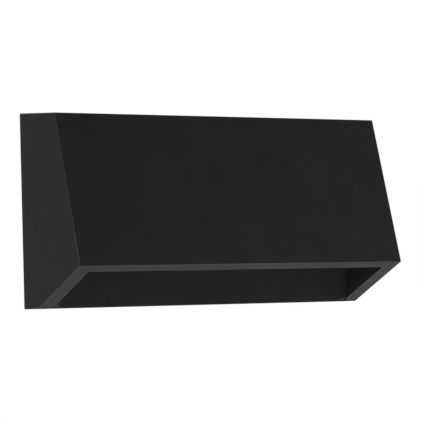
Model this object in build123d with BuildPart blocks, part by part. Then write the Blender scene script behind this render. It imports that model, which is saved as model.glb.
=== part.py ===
from build123d import *
import os
from math import atan2, cos, tan

os.makedirs("parts", exist_ok=True)

# A hooded step light for a wall, in millimetres.
# X runs along the wall, Y into it and Z up, so the front faces -Y.
# The origin is on the wall, midway between the two wall screws.

# Hood: outside sizes, as depths in front of the wall and heights above the bottom edge
WIDTH = 150.0
HEIGHT = 75.0
TOP_DEPTH = 25.9
TOP_FALL = 1.7
LIP_DEPTH = 42.15
LIP_HEIGHT = 15.2
FOOT_DEPTH = 11.0

# Hood: walls, rounding and the rebate that the back box slides into
SIDE_WALL = 6.2
FRONT_WALL = 5.0
TOP_WALL = 5.0
EDGE_RADIUS = 0.5
INNER_RADIUS = 2.0
REBATE = 0.6
REBATE_LAP = 1.6

# Hood: bosses for the screws that hold it to the back box
BOSS_INSET = 6.8
BOSS_RISE = 6.0
BOSS_DROP = 10.8
BOSS_RADIUS = 3.5
BOSS_HOLE_DEPTH = 9.0
BOSS_ROOT = 1.5
HOOD_SCREW_LENGTH = 10.0
WEB_THICKNESS = 2.5
WEB_SETBACK = 2.0

# Wall gasket and its groove in the hood's back rim
GROOVE_INSET = 2.0
GROOVE_WIDTH = 2.2
GROOVE_DEPTH = 1.5
GROOVE_RADIUS = 3.0
GASKET_FOOT = 6.0
GASKET_GAP = 0.1

# Back box: the casting behind and above the recess
BOX_GAP = 0.3
BOX_WALL = 2.5
CORNER_RADIUS = 4.3
CORNER_LAND = 0.5
CORNER_FOOT = 1.7
CORNER_RISE = 13.0
BOX_BOTTOM_WALL = 3.0
RIB_COUNT = 4
RIB_SPACING = 9.0
RIB_THICKNESS = 2.0
RIB_REACH = 5.0
ROOT = 0.5

# Back box: the wiring chamber that reaches forwards over the recess
FLOOR_SHARE = 0.48
CHAMBER_GAP = 1.2
CHAMBER_END_GAP = 4.5
COLLAR_WIDTH = 7.5
COLLAR_HEIGHT = 3.0
CHAMBER_RADIUS = 1.5

# Rear cover, its gasket and screws
COVER_THICKNESS = 1.5
COVER_GAP = 0.25
COVER_RADIUS = 3.0
SEAL_INSET = 1.2
SEAL_WIDTH = 1.6
SEAL_DEPTH = 1.2
COVER_SCREW_INSET = 4.75
COVER_SCREW_LENGTH = 5.0

# Cable grommet
CABLE_SHARE = 0.506
CABLE_RADIUS = 3.4
GROMMET_NECK = 5.4
GROMMET_FLANGE = 7.4
GROMMET_LIP = 1.6
GROMMET_NOSE = 4.0
GROMMET_TIP = 4.3

# Wall bracket
SLOT_LEVEL = 20.0
SLOT_SPACING = 60.0
SLOT_LENGTH = 12.0
SLOT_WIDTH = 5.5
SHEET = 1.5
BRACKET_END_GAP = 6.8
BRACKET_RADIUS = 4.0
BEND_RADIUS = 2.0
BEND_RELIEF = 2.5
TAB_WIDTH = 14.0
TAB_LENGTH = 8.0
FIXING_INSET = 17.0
FIXING_DEPTH = 4.9
FIXING_BOSS_HEIGHT = 6.0
FIXING_BOSS_RADIUS = 4.6
FIXING_RECESS = 3.2
FIXING_LENGTH = 8.0
NUT_RADIUS = 3.2
NUT_SPIGOT = 2.6
NUT_HEIGHT = 2.0

# Lens, its frame and gasket, hung under the chamber's floor
LENS_END_GAP = 5.5
LENS_REAR_GAP = 2.5
LENS_FRONT_GAP = 1.4
LENS_THICKNESS = 2.5
LENS_GAP = 0.3
LENS_LEDGE = 2.5
LEDGE_THICKNESS = 1.5
LENS_SEAL = 1.0
LENS_RIM = 1.8
FRAME_DROP = 9.5
FRAME_GAP = 0.4
FRAME_PLATE = 2.5
FRAME_SCREW_GAP = 4.8
FRAME_SCREW_SHARE = 0.6
FRAME_SCREW_LENGTH = 12.0
FRAME_SCREW_RECESS = 2.0
FRAME_BOSS_RADIUS = 2.6
FRAME_BOSS_HEIGHT = 6.0
FRAME_PILLAR = 3.2
FRAME_END_WALL = 1.5
LENS_RADIUS = 1.0
WINDOW_FLARE = 0.8

# LED board under the floor
PAD_THICKNESS = 0.5
LED_BOARD_END_GAP = 3.5
LED_BOARD_SIDE_GAP = 2.75
BOARD_THICKNESS = 1.6
LED_COUNT = 11
LED_INSET = 7.5
LED_LENGTH = 2.8
LED_WIDTH = 3.5
LED_HEIGHT = 0.7
BOARD_SCREW_INSET = 3.0
BOARD_SCREW_LENGTH = 5.0
BOARD_BOSS_HEIGHT = 2.5
FEED_RADIUS = 1.85
BUSH_RADIUS = 2.15
BUSH_FLANGE = 3.2
BUSH_LIP = 1.0

# Driver board on four posts on the floor
DRIVER_SHARE = 0.35
DRIVER_END_GAP = 1.5
DRIVER_REAR_GAP = 2.0
DRIVER_FRONT_GAP = 1.7
POST_HEIGHT = 3.5
POST_RADIUS = 2.2
POST_INSET = 2.5
POST_PAD_INSET = 4.5
POST_HOLE_DEPTH = 3.2
DRIVER_SCREW_LENGTH = 4.5

# Parts on the driver board, in units of its layout: where each stands, from the board's middle
# along X and in depth, and its size. Heights come from the headroom left above the tallest ones.
LAYOUT_LENGTH = 36.0
LAYOUT_WIDTH = 16.0
INPUT_CAPACITOR_AT = (-10.4, 0.0)
TRANSFORMER_AT = (1.5, 0.0)
OUTPUT_CAPACITOR_AT = (11.9, -1.7)
RECTIFIER_AT = (10.55, 3.65)
CHIP_AT = (-8.6, 6.0)
FUSE_AT = (-7.2, -6.1)
INPUT_CAPACITOR_RADIUS = 4.0
OUTPUT_CAPACITOR_RADIUS = 3.15
OUTPUT_CAPACITOR_DROP = 1.0
CAPACITOR_BEVEL = 0.5
HEADROOM = 2.4
RECTIFIER = (4.7, 3.9, 2.5)
CHIP = (4.9, 3.9, 1.6)
FUSE = (1.4, 8.0)
CORE_WIDTH = 13.2
CORE_THICKNESS = 6.0
CORE_YOKE = 1.8
CORE_LEG = 3.6
COIL_WIDTH = 9.2
COIL_DEPTH = 12.0
COIL_GAP = 0.15
COIL_FOOT = 1.0

# Terminal block and earth point
TERMINAL_LENGTH = 20.0
TERMINAL_REAR_GAP = 1.2
TERMINAL_THICKNESS = 12.0
TERMINAL_HEADROOM = 1.0
TERMINAL_MARGIN = 3.0
TERMINAL_LIFT = 4.5
POLES = 3
WIRE_HOLE = 1.4
WIRE_HOLE_DEPTH = 6.0
CLAMP_INSET = 4.0
CLAMP_RADIUS = 1.6
CLAMP_LENGTH = 2.6
CLAMP_PLAY = 0.15
TERMINAL_POST = 2.0
TERMINAL_POST_HOLE = 5.0
TERMINAL_FIXING_RECESS = 2.0
TERMINAL_FIXING_STAGGER = 1.8
TERMINAL_FIXING_LENGTH = 14.0
EARTH_SHARE = 0.6
EARTH_BOSS_RADIUS = 4.0
EARTH_HOLE_DEPTH = 4.5
EARTH_SCREW_LENGTH = 4.8
LUG_THICKNESS = 0.8
LUG_RADIUS = 3.5
LUG_BARREL = 1.4
LUG_BARREL_LENGTH = 4.5
LUG_NECK = 4.2

# Leads: conductor with insulation
MAINS_LEAD_RADIUS = 1.1
LED_LEAD_RADIUS = 0.6
LED_LEAD_SPREAD = 1.8
LEAD_INSERT = 5.0
LEAD_PAD_INSET = 1.0
LEAD_GAP = 0.05
MAINS_LEAD_PITCH = 2.2
MAINS_BEND = 4.0
NEUTRAL_BEND_SHARE = 0.6
NEUTRAL_JOG = 6.0
LED_PAD_GAP = 2.9
LED_LOOP_HEIGHT = 4.4
LED_LOOP_BEND = 2.2
LED_TAIL = 1.9
LED_TAIL_BEND = 1.0

# Screws: shank radius, head radius, head height
SCREW_GAP = 0.05
HOLE_PLAY = 0.25
M2 = (1.0, 1.8, 1.3)
M25 = (1.25, 2.2, 1.5)
M3 = (1.5, 2.5, 1.8)
M4 = (2.0, 3.4, 2.2)

# Worked out from the sizes above: the hood, the back box and its chamber
BOTTOM = -SLOT_LEVEL
SLOPE = atan2(LIP_DEPTH - TOP_DEPTH, HEIGHT - TOP_FALL - LIP_HEIGHT)
CEILING = HEIGHT - TOP_FALL - TOP_WALL
INNER_HALF = WIDTH / 2 - SIDE_WALL
FLOOR_HEIGHT = FLOOR_SHARE * HEIGHT
BOSS_X = INNER_HALF - BOSS_INSET
BOSS_LEVELS = (FLOOR_HEIGHT + BOSS_RISE, CEILING - BOSS_DROP)
BOX_WIDTH = 2 * (INNER_HALF + REBATE - BOX_GAP)
BOX_HEIGHT = CEILING - BOX_GAP
BOX_SKIN_DEPTH = FOOT_DEPTH - BOX_WALL
CHAMBER_WIDTH = 2 * (BOSS_X - BOSS_RADIUS - CHAMBER_END_GAP)
CHAMBER_FLOOR = FLOOR_HEIGHT + BOX_WALL
COVER_SEAT = BOX_SKIN_DEPTH - COLLAR_HEIGHT
COLLAR_BOTTOM = CHAMBER_FLOOR - COLLAR_WIDTH
OPENING_WIDTH = CHAMBER_WIDTH - 2 * BOX_WALL
OPENING_TOP = BOX_HEIGHT - BOX_WALL - COLLAR_WIDTH
OPENING_HEIGHT = OPENING_TOP - CHAMBER_FLOOR
OPENING_MIDDLE = CHAMBER_FLOOR + OPENING_HEIGHT / 2

# The bracket, the lens and its frame, and the LED board
BRACKET_WIDTH = 2 * (INNER_HALF - BRACKET_END_GAP)
FIXING_X = BRACKET_WIDTH / 2 - FIXING_INSET
FRAME_BOTTOM = FLOOR_HEIGHT - FRAME_DROP
LENS_LENGTH = OPENING_WIDTH - 2 * LENS_END_GAP
LENS_BOTTOM = FRAME_BOTTOM + LEDGE_THICKNESS
LENS_TOP = LENS_BOTTOM + LENS_THICKNESS
LENS_RIM_DROP = FLOOR_HEIGHT - LENS_TOP - LENS_SEAL
FRAME_SCREW_X = LENS_LENGTH / 2 + FRAME_SCREW_GAP
LED_BOARD_LENGTH = LENS_LENGTH - 2 * LED_BOARD_END_GAP
LED_BOARD_TOP = FLOOR_HEIGHT - PAD_THICKNESS
LED_BOARD_BOTTOM = LED_BOARD_TOP - BOARD_THICKNESS
LED_PITCH = (LED_BOARD_LENGTH - 2 * LED_INSET) / (LED_COUNT - 1)
BOARD_SCREW_X = LED_BOARD_LENGTH / 2 - BOARD_SCREW_INSET
FEED_X = 1.5 * LED_PITCH

# Inside the chamber, from left to right: cable entry, terminal block, earth point, driver board
DRIVER_LENGTH = DRIVER_SHARE * OPENING_WIDTH
SPARE_LENGTH = OPENING_WIDTH - TERMINAL_LENGTH - DRIVER_LENGTH - DRIVER_END_GAP
CABLE_BAY = CABLE_SHARE * SPARE_LENGTH
CABLE_X = (CABLE_BAY - OPENING_WIDTH) / 2
TERMINAL_LEFT = CABLE_BAY - OPENING_WIDTH / 2
TERMINAL_RIGHT = TERMINAL_LEFT + TERMINAL_LENGTH
TERMINAL_MIDDLE = TERMINAL_LEFT + TERMINAL_LENGTH / 2
TERMINAL_REAR = COVER_SEAT + TERMINAL_REAR_GAP
TERMINAL_FRONT = TERMINAL_REAR + TERMINAL_THICKNESS
TERMINAL_DEPTH = (TERMINAL_REAR + TERMINAL_FRONT) / 2
POLE_LEVEL = CHAMBER_FLOOR + TERMINAL_LIFT
POLE_SPAN = OPENING_TOP - TERMINAL_HEADROOM - TERMINAL_MARGIN - POLE_LEVEL
TERMINAL_PITCH = POLE_SPAN / (POLES - 1)
TERMINAL_HEIGHT = POLE_SPAN + 2 * TERMINAL_MARGIN
TERMINAL_CENTRE = POLE_LEVEL + POLE_SPAN / 2
EARTH_X = TERMINAL_RIGHT + EARTH_SHARE * (SPARE_LENGTH - CABLE_BAY)
EARTH_LEVEL = POLE_LEVEL - LUG_BARREL
DRIVER_LEFT = OPENING_WIDTH / 2 - DRIVER_END_GAP - DRIVER_LENGTH
DRIVER_MIDDLE = DRIVER_LEFT + DRIVER_LENGTH / 2
DRIVER_BOTTOM = CHAMBER_FLOOR + POST_HEIGHT
DRIVER_TOP = DRIVER_BOTTOM + BOARD_THICKNESS
TALLEST = OPENING_TOP - HEADROOM - DRIVER_TOP


def wall_plane(depth):
    """A plane parallel to the wall, that far in front of it: x is X, y is Z, and it extrudes forwards."""
    return Plane.XZ.offset(depth)


def level_plane(height):
    """A level plane that far above the bottom edge: x is X, y runs to the wall, and it extrudes upwards."""
    return Plane.XY.offset(BOTTOM + height)


def side(depth, height):
    """A point of the side view, for Plane.YZ, from a depth and a height."""
    return (-depth, BOTTOM + height)


def rim_height(depth):
    """Height of the hood's slanted rim at a depth."""
    return LIP_HEIGHT * (depth - FOOT_DEPTH) / (LIP_DEPTH - FOOT_DEPTH)


def inner_depth(height, inset=0.0):
    """Depth of the hood's inner front face at a height, less an inset measured square to it."""
    outer = TOP_DEPTH + (HEIGHT - TOP_FALL - height) * tan(SLOPE)
    return outer - (FRONT_WALL + inset) / cos(SLOPE)


DRIVER_REAR = COVER_SEAT + DRIVER_REAR_GAP
DRIVER_FRONT = inner_depth(DRIVER_TOP, CHAMBER_GAP + BOX_WALL) - DRIVER_FRONT_GAP
DRIVER_WIDTH = DRIVER_FRONT - DRIVER_REAR
DRIVER_DEPTH = (DRIVER_REAR + DRIVER_FRONT) / 2
LAYOUT_UNIT = min(DRIVER_LENGTH / LAYOUT_LENGTH, DRIVER_WIDTH / LAYOUT_WIDTH)
LENS_REAR = FOOT_DEPTH + LENS_REAR_GAP
LENS_FRONT = inner_depth(FLOOR_HEIGHT, CHAMBER_GAP) - LENS_FRONT_GAP
LENS_WIDTH = LENS_FRONT - LENS_REAR
LED_DEPTH = (LENS_REAR + LENS_FRONT) / 2
LED_BOARD_WIDTH = LENS_WIDTH - 2 * LED_BOARD_SIDE_GAP


def down_plane(height):
    """A level plane at that height, seen from above: x is X, y is the depth, and it extrudes downwards."""
    return Plane(origin=(0, 0, BOTTOM + height), x_dir=(1, 0, 0), z_dir=(0, 0, -1))


def near(value, target):
    """True where two lengths are the same to a hundredth."""
    return abs(value - target) < 0.01


def pairs(x, *others):
    """Places at plus and minus x, for each of the other coordinates."""
    return [(sign * x, other) for other in others for sign in (-1, 1)]


def add_screws(seat, places, size, length):
    """Pan-head screws in the open part: seat is the plane under the heads and faces the way they are driven."""
    shank_radius, head_radius, head_height = size
    with BuildSketch(seat) as heads:
        with Locations(*places):
            Circle(head_radius)
    extrude(heads.sketch, amount=-head_height)
    with BuildSketch(seat) as shanks:
        with Locations(*places):
            Circle(shank_radius)
    extrude(shanks.sketch, amount=length)


def add_lead(points, bends, radius):
    """An insulated lead in the open part: straight runs between its points, joined by arcs of those radii."""
    with BuildLine() as route:
        if bends:
            FilletPolyline(*points, radius=bends)
        else:
            Polyline(*points)
    with BuildSketch(Plane(origin=route.line @ 0, z_dir=route.line % 0)) as section:
        Circle(radius)
    sweep(section.sketch, path=route.line)


# Where the screws and posts stand
hood_screw_places = pairs(BOSS_X, *[BOTTOM + level for level in BOSS_LEVELS])
cover_screw_levels = (CHAMBER_FLOOR - COVER_SCREW_INSET, OPENING_TOP + COVER_SCREW_INSET)
cover_screw_places = [
    (column * (OPENING_WIDTH / 2 + COVER_SCREW_INSET), BOTTOM + level)
    for level in cover_screw_levels
    for column in (-1, 0, 1)
]
frame_screw_spread = FRAME_SCREW_SHARE * LENS_WIDTH
frame_screw_depths = (LED_DEPTH - frame_screw_spread / 2, LED_DEPTH + frame_screw_spread / 2)
frame_screw_places = pairs(FRAME_SCREW_X, *[-depth for depth in frame_screw_depths])
board_screw_places = pairs(BOARD_SCREW_X, -LED_DEPTH)
fixing_places = pairs(FIXING_X, -FIXING_DEPTH)
post_places = [
    (x, depth)
    for x in (
        DRIVER_LEFT + POST_PAD_INSET * LAYOUT_UNIT,
        DRIVER_LEFT + DRIVER_LENGTH - POST_INSET * LAYOUT_UNIT,
    )
    for depth in (DRIVER_REAR + POST_INSET, DRIVER_FRONT - POST_INSET)
]
pole_levels = [POLE_LEVEL + i * TERMINAL_PITCH for i in range(POLES)]
terminal_fixing_levels = [level + TERMINAL_PITCH / 2 for level in pole_levels[:-1]]
terminal_fixing_places = [
    (TERMINAL_MIDDLE - TERMINAL_FIXING_STAGGER, BOTTOM + terminal_fixing_levels[0]),
    (TERMINAL_MIDDLE + TERMINAL_FIXING_STAGGER, BOTTOM + terminal_fixing_levels[1]),
]


# Hood: a die-cast wedge, hollow from the back, whose slanted rim is open for the light
with BuildPart() as hood:
    with BuildSketch(Plane.YZ):
        with BuildLine():
            Polyline(
                side(0, 0),
                side(0, HEIGHT),
                side(TOP_DEPTH, HEIGHT - TOP_FALL),
                side(LIP_DEPTH, LIP_HEIGHT),
                side(FOOT_DEPTH, 0),
                close=True,
            )
        make_face()
    extrude(amount=WIDTH / 2, both=True)
    fillet([e for e in hood.edges() if not near(e.center().Y, 0)], EDGE_RADIUS)
    with BuildSketch(Plane.YZ) as cavity:
        with BuildLine():
            Polyline(
                side(-1, -1),
                side(-1, CEILING),
                side(inner_depth(CEILING), CEILING),
                side(inner_depth(-1), -1),
                close=True,
            )
        make_face()
        fillet(cavity.vertices().sort_by(Axis.Y)[-2:].sort_by(Axis.X)[0:1], INNER_RADIUS)
    extrude(amount=INNER_HALF, both=True, mode=Mode.SUBTRACT)
    rim_edges = [e for e in hood.edges() if near(e.center().Z, BOTTOM + rim_height(-e.center().Y))]
    rim_edges = [e for e in rim_edges if abs(e.center().X) < INNER_HALF + EDGE_RADIUS]
    fillet([e for e in rim_edges if -e.center().Y < LIP_DEPTH - FRONT_WALL / 2], EDGE_RADIUS)
    with BuildSketch(wall_plane(0)):
        with Locations((0, BOTTOM + CEILING / 2)):
            Rectangle(2 * (INNER_HALF + REBATE), CEILING)
    extrude(amount=FOOT_DEPTH + REBATE_LAP, mode=Mode.SUBTRACT)
    # Cast bosses for the hood screws, each with a web to the side wall
    for level in BOSS_LEVELS:
        reach = inner_depth(level) + BOSS_ROOT - FOOT_DEPTH
        with BuildSketch(wall_plane(FOOT_DEPTH)):
            with Locations(*pairs(BOSS_X, BOTTOM + level)):
                Circle(BOSS_RADIUS)
        extrude(amount=reach)
        with BuildSketch(wall_plane(FOOT_DEPTH + WEB_SETBACK)):
            with Locations(*pairs((BOSS_X + INNER_HALF + BOSS_ROOT) / 2, BOTTOM + level)):
                Rectangle(INNER_HALF + BOSS_ROOT - BOSS_X, WEB_THICKNESS)
        extrude(amount=reach - WEB_SETBACK)
        with BuildSketch(wall_plane(FOOT_DEPTH)):
            with Locations(*pairs(BOSS_X, BOTTOM + level)):
                Circle(M3[0] + SCREW_GAP)
        extrude(amount=BOSS_HOLE_DEPTH, mode=Mode.SUBTRACT)
    # Groove for the wall gasket, open at the foot
    with BuildSketch(wall_plane(0)):
        with Locations((0, BOTTOM + HEIGHT / 2)):
            RectangleRounded(WIDTH - 2 * GROOVE_INSET, HEIGHT - 2 * GROOVE_INSET, GROOVE_RADIUS)
            offset(amount=-GROOVE_WIDTH, mode=Mode.SUBTRACT)
        with Locations((0, BOTTOM)):
            Rectangle(WIDTH, 2 * GASKET_FOOT, mode=Mode.SUBTRACT)
    extrude(amount=GROOVE_DEPTH, mode=Mode.SUBTRACT)
hood.part.label = "hood"
export_step(hood.part, "parts/hood.step")


# Corner strip: the back box's concave upright corner, with a land beside the hood's side wall
# Its front leans forwards from the rim and it ends below the lens frame.
corner_end = INNER_HALF - BOX_GAP
corner_start = corner_end - CORNER_LAND - CORNER_RADIUS
corner_front = FOOT_DEPTH + CORNER_RADIUS
with BuildPart() as corner_strip:
    with BuildSketch(level_plane(0)):
        with BuildLine():
            Line((corner_start, -FOOT_DEPTH), (corner_start, ROOT - FOOT_DEPTH))
            Line((corner_start, ROOT - FOOT_DEPTH), (corner_end, ROOT - FOOT_DEPTH))
            Line((corner_end, ROOT - FOOT_DEPTH), (corner_end, -corner_front))
            Line((corner_end, -corner_front), (corner_end - CORNER_LAND, -corner_front))
            CenterArc((corner_start, -corner_front), CORNER_RADIUS, 0, 90)
        make_face()
    extrude(amount=FRAME_BOTTOM - BOX_GAP)
    with BuildSketch(Plane.YZ) as corner_side:
        with BuildLine():
            Polyline(
                side(FOOT_DEPTH - ROOT, EDGE_RADIUS),
                side(FOOT_DEPTH, EDGE_RADIUS),
                side(FOOT_DEPTH + CORNER_FOOT, rim_height(FOOT_DEPTH + CORNER_FOOT) + EDGE_RADIUS),
                side(corner_front, CORNER_RISE),
                side(corner_front, FRAME_BOTTOM),
                side(FOOT_DEPTH - ROOT, FRAME_BOTTOM),
                close=True,
            )
        make_face()
    extrude(corner_side.sketch, amount=INNER_HALF, mode=Mode.INTERSECT)


# Back box: a die-cast tray whose front is the recess's back wall, with the wiring chamber above it
with BuildPart() as back_box:
    with BuildSketch(wall_plane(BOX_GAP)):
        with Locations((0, BOTTOM + BOX_HEIGHT / 2)):
            Rectangle(BOX_WIDTH, BOX_HEIGHT)
    extrude(amount=FOOT_DEPTH - BOX_GAP)
    box_front = back_box.faces().sort_by(Axis.Y)[0]
    fillet(box_front.edges().sort_by(Axis.Z)[0], EDGE_RADIUS)
    add(corner_strip.part)
    mirror(corner_strip.part, about=Plane.YZ)
    # The chamber reaches forwards, sloped like the hood
    with BuildSketch(Plane.YZ):
        with BuildLine():
            Polyline(
                side(FOOT_DEPTH - BOX_WALL, FLOOR_HEIGHT),
                side(inner_depth(FLOOR_HEIGHT, CHAMBER_GAP), FLOOR_HEIGHT),
                side(inner_depth(OPENING_TOP + BOX_WALL, CHAMBER_GAP), OPENING_TOP + BOX_WALL),
                side(FOOT_DEPTH - BOX_WALL, OPENING_TOP + BOX_WALL),
                close=True,
            )
        make_face()
    extrude(amount=CHAMBER_WIDTH / 2, both=True)
    chamber_front = back_box.faces().sort_by(Axis.Y)[0]
    fillet(chamber_front.edges().filter_by(Axis.X), CHAMBER_RADIUS)
    # Hollow from the back, then the collar for the rear cover
    with BuildSketch(wall_plane(0)):
        with Locations((0, BOTTOM + (BOX_BOTTOM_WALL + BOX_HEIGHT - BOX_WALL) / 2)):
            Rectangle(BOX_WIDTH - 2 * BOX_WALL, BOX_HEIGHT - BOX_WALL - BOX_BOTTOM_WALL)
    extrude(amount=BOX_SKIN_DEPTH, mode=Mode.SUBTRACT)
    with BuildSketch(wall_plane(COVER_SEAT)):
        with Locations((0, BOTTOM + OPENING_MIDDLE)):
            Rectangle(OPENING_WIDTH + 2 * COLLAR_WIDTH, OPENING_HEIGHT + 2 * COLLAR_WIDTH)
    extrude(amount=COLLAR_HEIGHT + ROOT)
    with BuildSketch(Plane.YZ):
        with BuildLine():
            Polyline(
                side(0, CHAMBER_FLOOR),
                side(inner_depth(CHAMBER_FLOOR, CHAMBER_GAP + BOX_WALL), CHAMBER_FLOOR),
                side(inner_depth(OPENING_TOP, CHAMBER_GAP + BOX_WALL), OPENING_TOP),
                side(0, OPENING_TOP),
                close=True,
            )
        make_face()
    extrude(amount=OPENING_WIDTH / 2, both=True, mode=Mode.SUBTRACT)
    # Stiffening ribs and the bosses of the fixing screws, behind the recess's back wall
    with BuildSketch(wall_plane(BOX_SKIN_DEPTH - RIB_REACH)):
        with Locations((0, BOTTOM + (BOX_BOTTOM_WALL - ROOT + COLLAR_BOTTOM) / 2)):
            with GridLocations(RIB_SPACING, 0, RIB_COUNT, 1):
                Rectangle(RIB_THICKNESS, COLLAR_BOTTOM - BOX_BOTTOM_WALL + ROOT)
    extrude(amount=RIB_REACH + ROOT)
    with BuildSketch(level_plane(0)):
        with Locations(*fixing_places):
            Circle(FIXING_BOSS_RADIUS)
    extrude(amount=FIXING_BOSS_HEIGHT)
    with BuildSketch(level_plane(0)):
        with Locations(*fixing_places):
            Circle(M4[1] + HOLE_PLAY)
    extrude(amount=FIXING_RECESS, mode=Mode.SUBTRACT)
    with BuildSketch(level_plane(0)):
        with Locations(*fixing_places):
            Circle(M4[0] + HOLE_PLAY)
    extrude(amount=FIXING_BOSS_HEIGHT, mode=Mode.SUBTRACT)
    # Posts on the floor: under the driver board, at the earth point and over the LED board's screws
    with BuildSketch(level_plane(CHAMBER_FLOOR - ROOT)):
        with Locations(*[(x, -depth) for x, depth in post_places]):
            Circle(POST_RADIUS)
    extrude(amount=POST_HEIGHT + ROOT)
    with BuildSketch(level_plane(CHAMBER_FLOOR - ROOT)):
        with Locations((EARTH_X, -TERMINAL_DEPTH)):
            Circle(EARTH_BOSS_RADIUS)
    extrude(amount=EARTH_LEVEL - CHAMBER_FLOOR + ROOT)
    with BuildSketch(level_plane(CHAMBER_FLOOR - ROOT)):
        with Locations(*board_screw_places):
            Circle(FRAME_BOSS_RADIUS)
    extrude(amount=BOARD_BOSS_HEIGHT + ROOT)
    with BuildSketch(level_plane(FLOOR_HEIGHT)):
        with Locations(*frame_screw_places):
            Circle(FRAME_BOSS_RADIUS)
    extrude(amount=FRAME_BOSS_HEIGHT)
    # Posts on the chamber's front wall for the terminal block
    for x, z in terminal_fixing_places:
        with BuildSketch(wall_plane(TERMINAL_FRONT)):
            with Locations((x, z)):
                Circle(TERMINAL_POST)
        extrude(amount=inner_depth(z - BOTTOM, CHAMBER_GAP + BOX_WALL) + ROOT - TERMINAL_FRONT)
    with BuildSketch(wall_plane(TERMINAL_FRONT)):
        with Locations(*terminal_fixing_places):
            Circle(M25[0] + SCREW_GAP)
    extrude(amount=TERMINAL_POST_HOLE, mode=Mode.SUBTRACT)
    # Rim that presses the lens gasket
    with BuildSketch(level_plane(FLOOR_HEIGHT - LENS_RIM_DROP)):
        with Locations((0, -LED_DEPTH)):
            RectangleRounded(LENS_LENGTH, LENS_WIDTH, LENS_RADIUS)
            Rectangle(LENS_LENGTH - 2 * LENS_RIM, LENS_WIDTH - 2 * LENS_RIM, mode=Mode.SUBTRACT)
    extrude(amount=LENS_RIM_DROP + ROOT)
    # Screw holes
    with BuildSketch(wall_plane(BOX_SKIN_DEPTH)):
        with Locations(*hood_screw_places):
            Circle(M3[0] + HOLE_PLAY)
    extrude(amount=BOX_WALL, mode=Mode.SUBTRACT)
    with BuildSketch(wall_plane(COVER_SEAT)):
        with Locations(*cover_screw_places):
            Circle(M3[0] + SCREW_GAP)
    extrude(amount=COVER_SCREW_LENGTH - COVER_THICKNESS + HOLE_PLAY, mode=Mode.SUBTRACT)
    with BuildSketch(level_plane(FLOOR_HEIGHT)):
        with Locations(*frame_screw_places):
            Circle(M3[0] + SCREW_GAP)
    extrude(amount=FRAME_BOSS_HEIGHT - ROOT, mode=Mode.SUBTRACT)
    with BuildSketch(level_plane(FLOOR_HEIGHT)):
        with Locations(*board_screw_places):
            Circle(M25[0] + SCREW_GAP)
    extrude(amount=BOX_WALL + BOARD_BOSS_HEIGHT - ROOT, mode=Mode.SUBTRACT)
    with BuildSketch(down_plane(DRIVER_BOTTOM)):
        with Locations(*post_places):
            Circle(M2[0] + SCREW_GAP)
    extrude(amount=POST_HOLE_DEPTH, mode=Mode.SUBTRACT)
    with BuildSketch(down_plane(EARTH_LEVEL)):
        with Locations((EARTH_X, TERMINAL_DEPTH)):
            Circle(M4[0] + SCREW_GAP)
    extrude(amount=EARTH_HOLE_DEPTH, mode=Mode.SUBTRACT)
    with BuildSketch(level_plane(FLOOR_HEIGHT)):
        with Locations((FEED_X, -LED_DEPTH)):
            Circle(BUSH_RADIUS + SCREW_GAP)
    extrude(amount=BOX_WALL, mode=Mode.SUBTRACT)
    # Groove for the rear cover's gasket
    with BuildSketch(wall_plane(COVER_SEAT)):
        with Locations((0, BOTTOM + OPENING_MIDDLE)):
            seal_width = OPENING_WIDTH + 2 * (SEAL_INSET + SEAL_WIDTH)
            seal_height = OPENING_HEIGHT + 2 * (SEAL_INSET + SEAL_WIDTH)
            Rectangle(seal_width, seal_height)
            Rectangle(seal_width - 2 * SEAL_WIDTH, seal_height - 2 * SEAL_WIDTH, mode=Mode.SUBTRACT)
    extrude(amount=SEAL_DEPTH, mode=Mode.SUBTRACT)
back_box.part.label = "back_box"
export_step(back_box.part, "parts/back_box.step")


# Hood screws: four, driven from behind through the back box into the hood's bosses
with BuildPart() as hood_screws:
    add_screws(wall_plane(BOX_SKIN_DEPTH), hood_screw_places, M3, HOOD_SCREW_LENGTH)
hood_screws.part.label = "hood_screws"
export_step(hood_screws.part, "parts/hood_screws.step")


# Wall gasket: a soft cord pressed into the groove in the hood's back rim
with BuildPart() as wall_gasket:
    with BuildSketch(wall_plane(0)):
        with Locations((0, BOTTOM + HEIGHT / 2)):
            cord_inset = GROOVE_INSET + GASKET_GAP
            RectangleRounded(WIDTH - 2 * cord_inset, HEIGHT - 2 * cord_inset, GROOVE_RADIUS)
            offset(amount=2 * GASKET_GAP - GROOVE_WIDTH, mode=Mode.SUBTRACT)
        with Locations((0, BOTTOM)):
            Rectangle(WIDTH, 2 * (GASKET_FOOT + GASKET_GAP), mode=Mode.SUBTRACT)
    extrude(amount=GROOVE_DEPTH)
wall_gasket.part.label = "wall_gasket"
export_step(wall_gasket.part, "parts/wall_gasket.step")


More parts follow.
